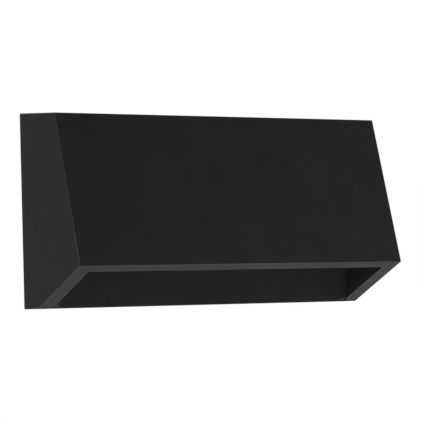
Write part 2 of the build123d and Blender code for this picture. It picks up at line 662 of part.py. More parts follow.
# Wall bracket: pressed sheet with two slots for the wall screws
# The back box hangs on its top tabs, and the fixing screws go up into its bottom tabs.
plate_low = FIXING_BOSS_HEIGHT + BEND_RELIEF
plate_high = COLLAR_BOTTOM - BEND_RELIEF
with BuildPart() as wall_bracket:
    with BuildSketch(wall_plane(0)):
        with Locations((0, BOTTOM + (plate_low + plate_high) / 2)):
            RectangleRounded(BRACKET_WIDTH, plate_high - plate_low, BRACKET_RADIUS)
    extrude(amount=SHEET)
    for edge, toward in ((FIXING_BOSS_HEIGHT, 1), (COLLAR_BOTTOM, -1)):
        inside = edge + toward * SHEET
        for x in (-FIXING_X, FIXING_X):
            with BuildSketch(Plane.YZ.offset(x)) as tab:
                with BuildLine():
                    Polyline(
                        side(0, (plate_low + plate_high) / 2),
                        side(0, edge),
                        side(TAB_LENGTH, edge),
                        side(TAB_LENGTH, inside),
                        side(SHEET, inside),
                        side(SHEET, (plate_low + plate_high) / 2),
                        close=True,
                    )
                make_face()
                corners = tab.vertices()
                fillet([v for v in corners if near(v.X, 0) and near(v.Y, BOTTOM + edge)], BEND_RADIUS)
                fillet([v for v in corners if near(v.X, -SHEET) and near(v.Y, BOTTOM + inside)], BEND_RADIUS - SHEET)
            extrude(amount=TAB_WIDTH / 2, both=True)
    with BuildSketch(wall_plane(0)):
        with GridLocations(SLOT_SPACING, 0, 2, 1):
            SlotOverall(SLOT_LENGTH, SLOT_WIDTH)
    extrude(amount=SHEET, mode=Mode.SUBTRACT)
    with BuildSketch(level_plane(FIXING_BOSS_HEIGHT)):
        with Locations(*fixing_places):
            Circle(NUT_SPIGOT + SCREW_GAP)
    extrude(amount=SHEET, mode=Mode.SUBTRACT)
wall_bracket.part.label = "wall_bracket"
export_step(wall_bracket.part, "parts/wall_bracket.step")


# Clinch nuts: pressed into the bracket's bottom tabs
nut_level = FIXING_BOSS_HEIGHT + SHEET
with BuildPart() as clinch_nuts:
    with BuildSketch(level_plane(nut_level)):
        with Locations(*fixing_places):
            RegularPolygon(NUT_RADIUS, 6)
    extrude(amount=NUT_HEIGHT)
    with BuildSketch(level_plane(nut_level)):
        with Locations(*fixing_places):
            Circle(NUT_SPIGOT)
    extrude(amount=-SHEET)
    with BuildSketch(level_plane(FIXING_BOSS_HEIGHT)):
        with Locations(*fixing_places):
            Circle(M4[0] + SCREW_GAP)
    extrude(amount=SHEET + NUT_HEIGHT, mode=Mode.SUBTRACT)
clinch_nuts.part.label = "clinch_nuts"
export_step(clinch_nuts.part, "parts/clinch_nuts.step")


# Fixing screws: two, driven up from below to hold the light on its bracket
with BuildPart() as fixing_screws:
    add_screws(level_plane(FIXING_RECESS), fixing_places, M4, FIXING_LENGTH)
fixing_screws.part.label = "fixing_screws"
export_step(fixing_screws.part, "parts/fixing_screws.step")


# Rear cover: a plate that closes the wiring chamber
with BuildPart() as rear_cover:
    with BuildSketch(wall_plane(COVER_SEAT - COVER_THICKNESS)):
        with Locations((0, BOTTOM + OPENING_MIDDLE)):
            RectangleRounded(
                OPENING_WIDTH + 2 * (COLLAR_WIDTH - COVER_GAP),
                OPENING_HEIGHT + 2 * (COLLAR_WIDTH - COVER_GAP),
                COVER_RADIUS,
            )
        with Locations(*cover_screw_places):
            Circle(M3[0] + HOLE_PLAY, mode=Mode.SUBTRACT)
        with Locations((CABLE_X, BOTTOM + OPENING_MIDDLE)):
            Circle(GROMMET_NECK + GASKET_GAP, mode=Mode.SUBTRACT)
    extrude(amount=COVER_THICKNESS)
rear_cover.part.label = "rear_cover"
export_step(rear_cover.part, "parts/rear_cover.step")


# Rear cover's gasket: a soft ring in the collar's groove
with BuildPart() as rear_gasket:
    with BuildSketch(wall_plane(COVER_SEAT)):
        with Locations((0, BOTTOM + OPENING_MIDDLE)):
            ring_width = OPENING_WIDTH + 2 * (SEAL_INSET + SEAL_WIDTH - GASKET_GAP)
            ring_height = OPENING_HEIGHT + 2 * (SEAL_INSET + SEAL_WIDTH - GASKET_GAP)
            ring_wall = SEAL_WIDTH - 2 * GASKET_GAP
            Rectangle(ring_width, ring_height)
            Rectangle(ring_width - 2 * ring_wall, ring_height - 2 * ring_wall, mode=Mode.SUBTRACT)
    extrude(amount=SEAL_DEPTH)
rear_gasket.part.label = "rear_gasket"
export_step(rear_gasket.part, "parts/rear_gasket.step")


# Rear cover's screws: six round its edge
with BuildPart() as rear_screws:
    add_screws(wall_plane(COVER_SEAT - COVER_THICKNESS), cover_screw_places, M3, COVER_SCREW_LENGTH)
rear_screws.part.label = "rear_screws"
export_step(rear_screws.part, "parts/rear_screws.step")


# Cable grommet: a rubber ring snapped into the rear cover, with a nose that grips the cable
cover_back = COVER_SEAT - COVER_THICKNESS
cable_axis = Plane(origin=(CABLE_X, 0, BOTTOM + OPENING_MIDDLE), x_dir=(1, 0, 0), z_dir=(0, 0, 1))
with BuildPart() as cable_grommet:
    with BuildSketch(cable_axis):
        with BuildLine():
            Polyline(
                (CABLE_RADIUS, GROMMET_LIP - cover_back),
                (GROMMET_FLANGE, GROMMET_LIP - cover_back),
                (GROMMET_FLANGE, -cover_back),
                (GROMMET_NECK, -cover_back),
                (GROMMET_NECK, -COVER_SEAT),
                (GROMMET_FLANGE, -COVER_SEAT),
                (GROMMET_NECK, -COVER_SEAT - GROMMET_LIP),
                (GROMMET_TIP, -COVER_SEAT - GROMMET_LIP - GROMMET_NOSE),
                (CABLE_RADIUS, -COVER_SEAT - GROMMET_LIP - GROMMET_NOSE),
                close=True,
            )
        make_face()
    revolve(axis=Axis(cable_axis.origin, (0, 1, 0)))
cable_grommet.part.label = "cable_grommet"
export_step(cable_grommet.part, "parts/cable_grommet.step")


# Lens frame: a moulded tray under the chamber's floor that carries the lens
with BuildPart() as lens_frame:
    frame_back = FOOT_DEPTH + BOX_GAP
    with BuildSketch(Plane.YZ):
        with BuildLine():
            Polyline(
                side(frame_back, FRAME_BOTTOM),
                side(inner_depth(FRAME_BOTTOM, FRAME_GAP), FRAME_BOTTOM),
                side(inner_depth(FLOOR_HEIGHT, FRAME_GAP), FLOOR_HEIGHT),
                side(frame_back, FLOOR_HEIGHT),
                close=True,
            )
        make_face()
    extrude(amount=INNER_HALF - FRAME_GAP, both=True)
    with BuildSketch(level_plane(LENS_BOTTOM)):
        with Locations((0, -LED_DEPTH)):
            RectangleRounded(LENS_LENGTH + 2 * LENS_GAP, LENS_WIDTH + 2 * LENS_GAP, LENS_RADIUS)
    extrude(amount=FRAME_DROP, mode=Mode.SUBTRACT)
    # Hollow ends beside the screw pillars
    hollow_start = FRAME_SCREW_X + FRAME_PILLAR
    hollow_end = INNER_HALF - FRAME_GAP - FRAME_END_WALL
    hollow_back = frame_back + FRAME_END_WALL
    hollow_front = inner_depth(FLOOR_HEIGHT, FRAME_GAP) - FRAME_END_WALL
    with BuildSketch(level_plane(FRAME_BOTTOM + FRAME_PLATE)):
        with Locations(*pairs((hollow_start + hollow_end) / 2, -(hollow_back + hollow_front) / 2)):
            Rectangle(hollow_end - hollow_start, hollow_front - hollow_back)
    extrude(amount=FRAME_DROP, mode=Mode.SUBTRACT)
    # Window, flared towards the recess
    with BuildSketch(level_plane(FRAME_BOTTOM)):
        with Locations((0, -LED_DEPTH)):
            RectangleRounded(LENS_LENGTH - 2 * LENS_LEDGE, LENS_WIDTH - 2 * LENS_LEDGE, LENS_RADIUS)
    extrude(amount=FRAME_DROP, mode=Mode.SUBTRACT)
    frame_face = lens_frame.faces().sort_by(Axis.Z)[0]
    chamfer(frame_face.inner_wires()[0].edges(), WINDOW_FLARE)
    with BuildSketch(level_plane(FRAME_BOTTOM)):
        with Locations(*frame_screw_places):
            Circle(M3[1] + HOLE_PLAY)
    extrude(amount=FRAME_SCREW_RECESS, mode=Mode.SUBTRACT)
    with BuildSketch(level_plane(FRAME_BOTTOM)):
        with Locations(*frame_screw_places):
            Circle(M3[0] + HOLE_PLAY)
    extrude(amount=FRAME_DROP, mode=Mode.SUBTRACT)
lens_frame.part.label = "lens_frame"
export_step(lens_frame.part, "parts/lens_frame.step")


# Lens frame's screws: four, driven up into the chamber's floor
with BuildPart() as lens_screws:
    seat = level_plane(FRAME_BOTTOM + FRAME_SCREW_RECESS)
    add_screws(seat, frame_screw_places, M3, FRAME_SCREW_LENGTH)
lens_screws.part.label = "lens_screws"
export_step(lens_screws.part, "parts/lens_screws.step")


# Diffuser lens: a frosted strip on the frame's ledge
with BuildPart() as diffuser_lens:
    with BuildSketch(level_plane(LENS_BOTTOM)):
        with Locations((0, -LED_DEPTH)):
            RectangleRounded(LENS_LENGTH, LENS_WIDTH, LENS_RADIUS)
    extrude(amount=LENS_THICKNESS)
diffuser_lens.part.label = "diffuser_lens"
export_step(diffuser_lens.part, "parts/diffuser_lens.step")


# Lens gasket: a flat ring between the lens and the chamber's rim
with BuildPart() as lens_gasket:
    with BuildSketch(level_plane(LENS_TOP)):
        with Locations((0, -LED_DEPTH)):
            RectangleRounded(LENS_LENGTH, LENS_WIDTH, LENS_RADIUS)
            Rectangle(LENS_LENGTH - 2 * LENS_RIM, LENS_WIDTH - 2 * LENS_RIM, mode=Mode.SUBTRACT)
    extrude(amount=LENS_SEAL)
lens_gasket.part.label = "lens_gasket"
export_step(lens_gasket.part, "parts/lens_gasket.step")


# Thermal pad and LED board, flat against the underside of the chamber's floor
with BuildPart() as thermal_pad:
    with BuildSketch(level_plane(LED_BOARD_TOP)):
        with Locations((0, -LED_DEPTH)):
            Rectangle(LED_BOARD_LENGTH, LED_BOARD_WIDTH)
        with Locations(*board_screw_places):
            Circle(M25[0] + HOLE_PLAY, mode=Mode.SUBTRACT)
        with Locations((FEED_X, -LED_DEPTH)):
            Circle(FEED_RADIUS, mode=Mode.SUBTRACT)
    extrude(amount=PAD_THICKNESS)
thermal_pad.part.label = "thermal_pad"
export_step(thermal_pad.part, "parts/thermal_pad.step")

with BuildPart() as led_board:
    with BuildSketch(level_plane(LED_BOARD_BOTTOM)):
        with Locations((0, -LED_DEPTH)):
            RectangleRounded(LED_BOARD_LENGTH, LED_BOARD_WIDTH, LENS_RADIUS)
        with Locations(*board_screw_places):
            Circle(M25[0] + HOLE_PLAY, mode=Mode.SUBTRACT)
        with Locations((FEED_X, -LED_DEPTH)):
            Circle(FEED_RADIUS, mode=Mode.SUBTRACT)
    extrude(amount=BOARD_THICKNESS)
led_board.part.label = "led_board"
export_step(led_board.part, "parts/led_board.step")

with BuildPart() as led_chips:
    with BuildSketch(level_plane(LED_BOARD_BOTTOM - LED_HEIGHT)):
        with Locations((0, -LED_DEPTH)):
            with GridLocations(LED_PITCH, 0, LED_COUNT, 1):
                Rectangle(LED_LENGTH, LED_WIDTH)
    extrude(amount=LED_HEIGHT)
led_chips.part.label = "led_chips"
export_step(led_chips.part, "parts/led_chips.step")

with BuildPart() as board_screws:
    add_screws(level_plane(LED_BOARD_BOTTOM), board_screw_places, M25, BOARD_SCREW_LENGTH)
board_screws.part.label = "board_screws"
export_step(board_screws.part, "parts/board_screws.step")


# Driver board on its posts, with its screws
with BuildPart() as driver_board:
    with BuildSketch(level_plane(DRIVER_BOTTOM)):
        with Locations((DRIVER_MIDDLE, -DRIVER_DEPTH)):
            Rectangle(DRIVER_LENGTH, DRIVER_WIDTH)
        with Locations(*[(x, -depth) for x, depth in post_places]):
            Circle(M2[0] + HOLE_PLAY, mode=Mode.SUBTRACT)
    extrude(amount=BOARD_THICKNESS)
driver_board.part.label = "driver_board"
export_step(driver_board.part, "parts/driver_board.step")

with BuildPart() as driver_screws:
    add_screws(down_plane(DRIVER_TOP), post_places, M2, DRIVER_SCREW_LENGTH)
driver_screws.part.label = "driver_screws"
export_step(driver_screws.part, "parts/driver_screws.step")


def on_driver(at):
    """A place on the driver board, from its offset along X and in depth, in layout units."""
    return (DRIVER_MIDDLE + at[0] * LAYOUT_UNIT, -DRIVER_DEPTH - at[1] * LAYOUT_UNIT)


# Transformer: a ferrite core with two windows, and a wound bobbin on its middle leg
core_bottom = DRIVER_TOP + COIL_FOOT
core_x, core_y = on_driver(TRANSFORMER_AT)
core_width = CORE_WIDTH * LAYOUT_UNIT
core_height = TALLEST - COIL_FOOT
core_thickness = CORE_THICKNESS * LAYOUT_UNIT
core_leg = CORE_LEG * LAYOUT_UNIT
window_width = (core_width - core_leg) / 2 - CORE_YOKE * LAYOUT_UNIT
window_height = core_height - 2 * CORE_YOKE * LAYOUT_UNIT
with BuildPart() as transformer_core:
    with BuildSketch(wall_plane(-core_y - core_thickness / 2)):
        with Locations((core_x, BOTTOM + core_bottom + core_height / 2)):
            Rectangle(core_width, core_height)
            with GridLocations(core_leg + window_width, 0, 2, 1):
                Rectangle(window_width, window_height, mode=Mode.SUBTRACT)
    extrude(amount=core_thickness)
transformer_core.part.label = "transformer_core"
export_step(transformer_core.part, "parts/transformer_core.step")

coil_bottom = core_bottom + CORE_YOKE * LAYOUT_UNIT + COIL_GAP
coil_width = COIL_WIDTH * LAYOUT_UNIT
coil_depth = COIL_DEPTH * LAYOUT_UNIT
foot_depth = (coil_depth - core_thickness) / 2 - COIL_GAP
with BuildPart() as transformer_coil:
    with BuildSketch(level_plane(coil_bottom)):
        with Locations((core_x, core_y)):
            RectangleRounded(coil_width, coil_depth, CORE_YOKE * LAYOUT_UNIT)
            Rectangle(core_leg + 2 * COIL_GAP, core_thickness + 2 * COIL_GAP, mode=Mode.SUBTRACT)
    extrude(amount=window_height - 2 * COIL_GAP)
    with BuildSketch(level_plane(DRIVER_TOP)):
        with Locations((core_x, core_y)):
            with GridLocations(0, coil_depth - foot_depth, 1, 2):
                Rectangle(coil_width - 2 * CORE_YOKE * LAYOUT_UNIT, foot_depth)
    extrude(amount=coil_bottom - DRIVER_TOP)
transformer_coil.part.label = "transformer_coil"
export_step(transformer_coil.part, "parts/transformer_coil.step")


# Capacitors: upright cans with bevelled tops
with BuildPart() as input_capacitor:
    with BuildSketch(level_plane(DRIVER_TOP)):
        with Locations(on_driver(INPUT_CAPACITOR_AT)):
            Circle(INPUT_CAPACITOR_RADIUS * LAYOUT_UNIT)
    extrude(amount=TALLEST)
    chamfer(input_capacitor.edges().sort_by(Axis.Z)[-1], CAPACITOR_BEVEL)
input_capacitor.part.label = "input_capacitor"
export_step(input_capacitor.part, "parts/input_capacitor.step")

with BuildPart() as output_capacitor:
    with BuildSketch(level_plane(DRIVER_TOP)):
        with Locations(on_driver(OUTPUT_CAPACITOR_AT)):
            Circle(OUTPUT_CAPACITOR_RADIUS * LAYOUT_UNIT)
    extrude(amount=TALLEST - OUTPUT_CAPACITOR_DROP)
    chamfer(output_capacitor.edges().sort_by(Axis.Z)[-1], CAPACITOR_BEVEL)
output_capacitor.part.label = "output_capacitor"
export_step(output_capacitor.part, "parts/output_capacitor.step")


# Rectifier, control chip and fuse resistor, soldered on the driver board
rectifier_size = [length * LAYOUT_UNIT for length in RECTIFIER]
with BuildPart() as bridge_rectifier:
    with BuildSketch(level_plane(DRIVER_TOP)):
        with Locations(on_driver(RECTIFIER_AT)):
            Rectangle(rectifier_size[0], rectifier_size[1])
    extrude(amount=rectifier_size[2])
bridge_rectifier.part.label = "bridge_rectifier"
export_step(bridge_rectifier.part, "parts/bridge_rectifier.step")

chip_size = [length * LAYOUT_UNIT for length in CHIP]
with BuildPart() as control_chip:
    with BuildSketch(level_plane(DRIVER_TOP)):
        with Locations(on_driver(CHIP_AT)):
            Rectangle(chip_size[0], chip_size[1])
    extrude(amount=chip_size[2])
control_chip.part.label = "control_chip"
export_step(control_chip.part, "parts/control_chip.step")

fuse_x, fuse_y = on_driver(FUSE_AT)
fuse_radius = FUSE[0] * LAYOUT_UNIT
with BuildPart() as fuse_resistor:
    with BuildSketch(Plane.YZ.offset(fuse_x)):
        with Locations((fuse_y, BOTTOM + DRIVER_TOP + fuse_radius)):
            Circle(fuse_radius)
    extrude(amount=FUSE[1] * LAYOUT_UNIT / 2, both=True)
    chamfer(fuse_resistor.edges().filter_by(GeomType.CIRCLE), CAPACITOR_BEVEL / 2)
fuse_resistor.part.label = "fuse_resistor"
export_step(fuse_resistor.part, "parts/fuse_resistor.step")


# Terminal block: three poles above each other, with clamp screws that face the rear
clamp_places = [
    (TERMINAL_MIDDLE + sign * (TERMINAL_LENGTH / 2 - CLAMP_INSET), BOTTOM + level)
    for level in pole_levels
    for sign in (-1, 1)
]
clamp_end = TERMINAL_DEPTH - MAINS_LEAD_RADIUS - LEAD_GAP
with BuildPart() as terminal_block:
    with BuildSketch(wall_plane(TERMINAL_REAR)):
        with Locations((TERMINAL_MIDDLE, BOTTOM + TERMINAL_CENTRE)):
            Rectangle(TERMINAL_LENGTH, TERMINAL_HEIGHT)
    extrude(amount=TERMINAL_THICKNESS)
    fillet(terminal_block.edges().filter_by(Axis.Y), TERMINAL_MARGIN / 4)
    for end, inwards in ((TERMINAL_LEFT, 1), (TERMINAL_RIGHT, -1)):
        with BuildSketch(Plane.YZ.offset(end)):
            with Locations(*[side(TERMINAL_DEPTH, level) for level in pole_levels]):
                Circle(WIRE_HOLE)
        extrude(amount=inwards * WIRE_HOLE_DEPTH, mode=Mode.SUBTRACT)
    with BuildSketch(wall_plane(TERMINAL_REAR)):
        with Locations(*clamp_places):
            Circle(CLAMP_RADIUS + CLAMP_PLAY)
    extrude(amount=clamp_end - TERMINAL_REAR, mode=Mode.SUBTRACT)
    with BuildSketch(wall_plane(TERMINAL_REAR)):
        with Locations(*terminal_fixing_places):
            Circle(M25[1] + CLAMP_PLAY)
    extrude(amount=TERMINAL_FIXING_RECESS, mode=Mode.SUBTRACT)
    with BuildSketch(wall_plane(TERMINAL_REAR)):
        with Locations(*terminal_fixing_places):
            Circle(M25[0] + CLAMP_PLAY)
    extrude(amount=TERMINAL_THICKNESS, mode=Mode.SUBTRACT)
terminal_block.part.label = "terminal_block"
export_step(terminal_block.part, "parts/terminal_block.step")

with BuildPart() as terminal_screws:
    with BuildSketch(wall_plane(clamp_end)):
        with Locations(*clamp_places):
            Circle(CLAMP_RADIUS)
    extrude(amount=-CLAMP_LENGTH)
terminal_screws.part.label = "terminal_screws"
export_step(terminal_screws.part, "parts/terminal_screws.step")

with BuildPart() as terminal_fixings:
    seat = wall_plane(TERMINAL_REAR + TERMINAL_FIXING_RECESS)
    add_screws(seat, terminal_fixing_places, M25, TERMINAL_FIXING_LENGTH)
terminal_fixings.part.label = "terminal_fixings"
export_step(terminal_fixings.part, "parts/terminal_fixings.step")


# Earth lug and screw on their boss: a ring with a crimped barrel for the earth lead
lug_top = EARTH_LEVEL + LUG_THICKNESS
barrel_end = EARTH_X - LUG_NECK
with BuildPart() as earth_lug:
    with BuildSketch(level_plane(EARTH_LEVEL)):
        with Locations((EARTH_X, -TERMINAL_DEPTH)):
            Circle(LUG_RADIUS)
        with Locations(((EARTH_X + barrel_end) / 2, -TERMINAL_DEPTH)):
            Rectangle(LUG_NECK, 2 * LUG_BARREL)
        with Locations((EARTH_X, -TERMINAL_DEPTH)):
            Circle(M4[0] + HOLE_PLAY, mode=Mode.SUBTRACT)
    extrude(amount=LUG_THICKNESS)
    with BuildSketch(Plane.YZ.offset(barrel_end)):
        with Locations(side(TERMINAL_DEPTH, POLE_LEVEL)):
            Circle(LUG_BARREL)
    extrude(amount=-LUG_BARREL_LENGTH)
    with BuildSketch(Plane.YZ.offset(barrel_end - LUG_BARREL_LENGTH)):
        with Locations(side(TERMINAL_DEPTH, POLE_LEVEL)):
            Circle(MAINS_LEAD_RADIUS + LEAD_GAP)
    extrude(amount=LUG_BARREL_LENGTH - LUG_THICKNESS, mode=Mode.SUBTRACT)
earth_lug.part.label = "earth_lug"
export_step(earth_lug.part, "parts/earth_lug.step")

with BuildPart() as earth_screw:
    add_screws(down_plane(lug_top), [(EARTH_X, TERMINAL_DEPTH)], M4, EARTH_SCREW_LENGTH)
earth_screw.part.label = "earth_screw"
export_step(earth_screw.part, "parts/earth_screw.step")


# Feed bush: a soft plug in the floor that the two LED leads pass through
led_lead_depths = (LED_DEPTH - LED_LEAD_SPREAD / 2, LED_DEPTH + LED_LEAD_SPREAD / 2)
with BuildPart() as feed_bush:
    with BuildSketch(level_plane(FLOOR_HEIGHT)):
        with Locations((FEED_X, -LED_DEPTH)):
            Circle(BUSH_RADIUS)
    extrude(amount=BOX_WALL)
    with BuildSketch(level_plane(CHAMBER_FLOOR)):
        with Locations((FEED_X, -LED_DEPTH)):
            Circle(BUSH_FLANGE)
    extrude(amount=BUSH_LIP)
    with BuildSketch(level_plane(FLOOR_HEIGHT)):
        with Locations(*[(FEED_X, -depth) for depth in led_lead_depths]):
            Circle(LED_LEAD_RADIUS + LEAD_GAP)
    extrude(amount=BOX_WALL + BUSH_LIP, mode=Mode.SUBTRACT)
feed_bush.part.label = "feed_bush"
export_step(feed_bush.part, "parts/feed_bush.step")


# Leads: live and neutral from the block to the driver board, and earth to its lug
lead_start = TERMINAL_RIGHT - LEAD_INSERT
pad_x = DRIVER_LEFT + LEAD_PAD_INSET
live_z = BOTTOM + pole_levels[2]
neutral_z = BOTTOM + pole_levels[1]
board_z = BOTTOM + DRIVER_TOP
neutral_y = -(TERMINAL_DEPTH + MAINS_LEAD_PITCH)
neutral_end_bend = NEUTRAL_BEND_SHARE * (neutral_z - board_z)
led_pad_depth = TERMINAL_DEPTH + MAINS_LEAD_PITCH + LED_PAD_GAP
with BuildPart() as live_lead:
    live_points = [
        (lead_start, -TERMINAL_DEPTH, live_z),
        (pad_x, -TERMINAL_DEPTH, live_z),
        (pad_x, -TERMINAL_DEPTH, board_z),
    ]
    add_lead(live_points, [MAINS_BEND], MAINS_LEAD_RADIUS)
live_lead.part.label = "live_lead"
export_step(live_lead.part, "parts/live_lead.step")

with BuildPart() as neutral_lead:
    neutral_points = [
        (lead_start, -TERMINAL_DEPTH, neutral_z),
        (TERMINAL_RIGHT + NEUTRAL_JOG, -TERMINAL_DEPTH, neutral_z),
        (TERMINAL_RIGHT + 2 * NEUTRAL_JOG, neutral_y, neutral_z),
        (pad_x, neutral_y, neutral_z),
        (pad_x, neutral_y, board_z),
    ]
    add_lead(neutral_points, [MAINS_BEND, MAINS_BEND, neutral_end_bend], MAINS_LEAD_RADIUS)
neutral_lead.part.label = "neutral_lead"
export_step(neutral_lead.part, "parts/neutral_lead.step")

with BuildPart() as earth_lead:
    earth_points = [
        (lead_start, -TERMINAL_DEPTH, BOTTOM + POLE_LEVEL),
        (barrel_end - LUG_THICKNESS, -TERMINAL_DEPTH, BOTTOM + POLE_LEVEL),
    ]
    add_lead(earth_points, [], MAINS_LEAD_RADIUS)
earth_lead.part.label = "earth_lead"
export_step(earth_lead.part, "parts/earth_lead.step")


def led_lead_points(pad_depth, feed_depth, tail):
    """Route of an LED lead: up from its pad, over, down through the bush and along the LED board."""
    loop_z = board_z + LED_LOOP_HEIGHT
    tail_z = BOTTOM + LED_BOARD_BOTTOM - LED_LEAD_RADIUS - LEAD_GAP
    return [
        (pad_x, -pad_depth, board_z),
        (pad_x, -pad_depth, loop_z),
        (FEED_X, -feed_depth, loop_z),
        (FEED_X, -feed_depth, tail_z),
        (FEED_X, -feed_depth - tail, tail_z),
    ]


# LED leads: red and black, from the driver board down to the LED board
led_bends = [LED_LOOP_BEND, LED_LOOP_BEND, LED_TAIL_BEND]
with BuildPart() as led_lead_red:
    red_points = led_lead_points(led_pad_depth - LED_LEAD_SPREAD / 2, led_lead_depths[0], -LED_TAIL)
    add_lead(red_points, led_bends, LED_LEAD_RADIUS)
led_lead_red.part.label = "led_lead_red"
export_step(led_lead_red.part, "parts/led_lead_red.step")

with BuildPart() as led_lead_black:
    black_points = led_lead_points(led_pad_depth + LED_LEAD_SPREAD / 2, led_lead_depths[1], LED_TAIL)
    add_lead(black_points, led_bends, LED_LEAD_RADIUS)
led_lead_black.part.label = "led_lead_black"
export_step(led_lead_black.part, "parts/led_lead_black.step")
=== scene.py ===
from math import cos, pi, radians, sin

import bmesh
import bpy
import numpy as np
from mathutils import Matrix, Vector


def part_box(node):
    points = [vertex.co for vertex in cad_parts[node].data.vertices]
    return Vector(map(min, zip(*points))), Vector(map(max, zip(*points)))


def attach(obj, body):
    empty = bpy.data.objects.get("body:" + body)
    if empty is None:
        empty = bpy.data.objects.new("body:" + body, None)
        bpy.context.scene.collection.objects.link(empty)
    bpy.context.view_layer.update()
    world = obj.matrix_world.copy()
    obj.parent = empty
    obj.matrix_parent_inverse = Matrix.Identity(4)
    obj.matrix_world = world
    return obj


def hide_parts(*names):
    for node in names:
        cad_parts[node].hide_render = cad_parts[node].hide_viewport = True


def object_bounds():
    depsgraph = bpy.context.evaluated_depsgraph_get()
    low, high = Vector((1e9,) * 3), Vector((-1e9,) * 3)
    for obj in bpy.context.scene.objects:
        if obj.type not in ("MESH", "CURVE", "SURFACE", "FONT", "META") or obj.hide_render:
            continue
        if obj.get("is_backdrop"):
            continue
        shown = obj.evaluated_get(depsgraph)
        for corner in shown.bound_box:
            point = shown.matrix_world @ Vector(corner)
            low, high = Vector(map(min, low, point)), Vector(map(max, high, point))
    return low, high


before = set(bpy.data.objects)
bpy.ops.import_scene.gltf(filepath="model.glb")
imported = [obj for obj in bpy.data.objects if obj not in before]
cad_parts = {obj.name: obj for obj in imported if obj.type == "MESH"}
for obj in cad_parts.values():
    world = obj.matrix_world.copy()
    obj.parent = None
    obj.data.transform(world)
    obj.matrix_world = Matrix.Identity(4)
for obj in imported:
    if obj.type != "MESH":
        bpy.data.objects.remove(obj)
cad_low, cad_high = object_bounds()


# Hood and back box. Two aluminium die castings, screwed together from behind and sprayed with a
# fine matte black powder, which melts to a pebbled skin with shallow waves. On the hood's rounded
# edges the colour is painted paler: a painted highlight along the edges.


class Signal:
    """A value inside a finish. Python's operators on it add the Math nodes that they name."""

    def __init__(self, recipe, socket):
        self.recipe = recipe
        self.socket = socket

    def math(self, operation, *values):
        return self.recipe.node("ShaderNodeMath", {"operation": operation}, dict(enumerate(values)))

    def __add__(self, other):
        return self.math("ADD", self, other)

    def __sub__(self, other):
        return self.math("SUBTRACT", self, other)

    def __rsub__(self, other):
        return self.math("SUBTRACT", other, self)

    def __mul__(self, other):
        return self.math("MULTIPLY", self, other)

    def __truediv__(self, other):
        return self.math("DIVIDE", self, other)

    def __mod__(self, other):
        return self.math("FLOORED_MODULO", self, other)

    def __gt__(self, other):
        return self.math("GREATER_THAN", self, other)

    def __lt__(self, other):
        return self.math("LESS_THAN", self, other)

    def __abs__(self):
        return self.math("ABSOLUTE", self)

    def floor(self):
        return self.math("FLOOR", self)

    def root(self):
        return self.math("SQRT", self)

    def either(self, other):
        return self.math("MAXIMUM", self, other)

    def both(self, other):
        return self.math("MINIMUM", self, other)

    def off_centre(self, pitch):
        """Distance from the nearest multiple of the pitch."""
        return abs(self - (self / pitch + 0.5).floor() * pitch)

    def eased(self, start, end):
        """0 up to start, 1 from end on, and smooth between them."""
        settings = {"interpolation_type": "SMOOTHSTEP"}
        return self.recipe.node("ShaderNodeMapRange", settings, {0: self, 1: start, 2: end})

    __radd__ = __add__
    __rmul__ = __mul__


class Recipe:
    """A node tree being made, with one maker for all its nodes."""

    def __init__(self, owner):
        owner.use_nodes = True
        self.tree = owner.node_tree

    def node(self, kind, settings=None, inputs=None, output=0):
        """A node of that kind: its settings first, then the values or signals of its sockets."""
        made = self.tree.nodes.new(kind)
        for name, value in (settings or {}).items():
            setattr(made, name, value)
        for socket, value in (inputs or {}).items():
            self.join(value, made.inputs[socket])
        return Signal(self, made.outputs[output])

    def join(self, value, socket):
        if isinstance(value, Signal):
            self.tree.links.new(value.socket, socket)
        else:
            socket.default_value = value

    def mix(self, share, first, second):
        """The first colour where share is 0 and the second where it is 1."""
        return self.node("ShaderNodeMix", {"data_type": "RGBA"}, {0: share, 6: first, 7: second}, 2)


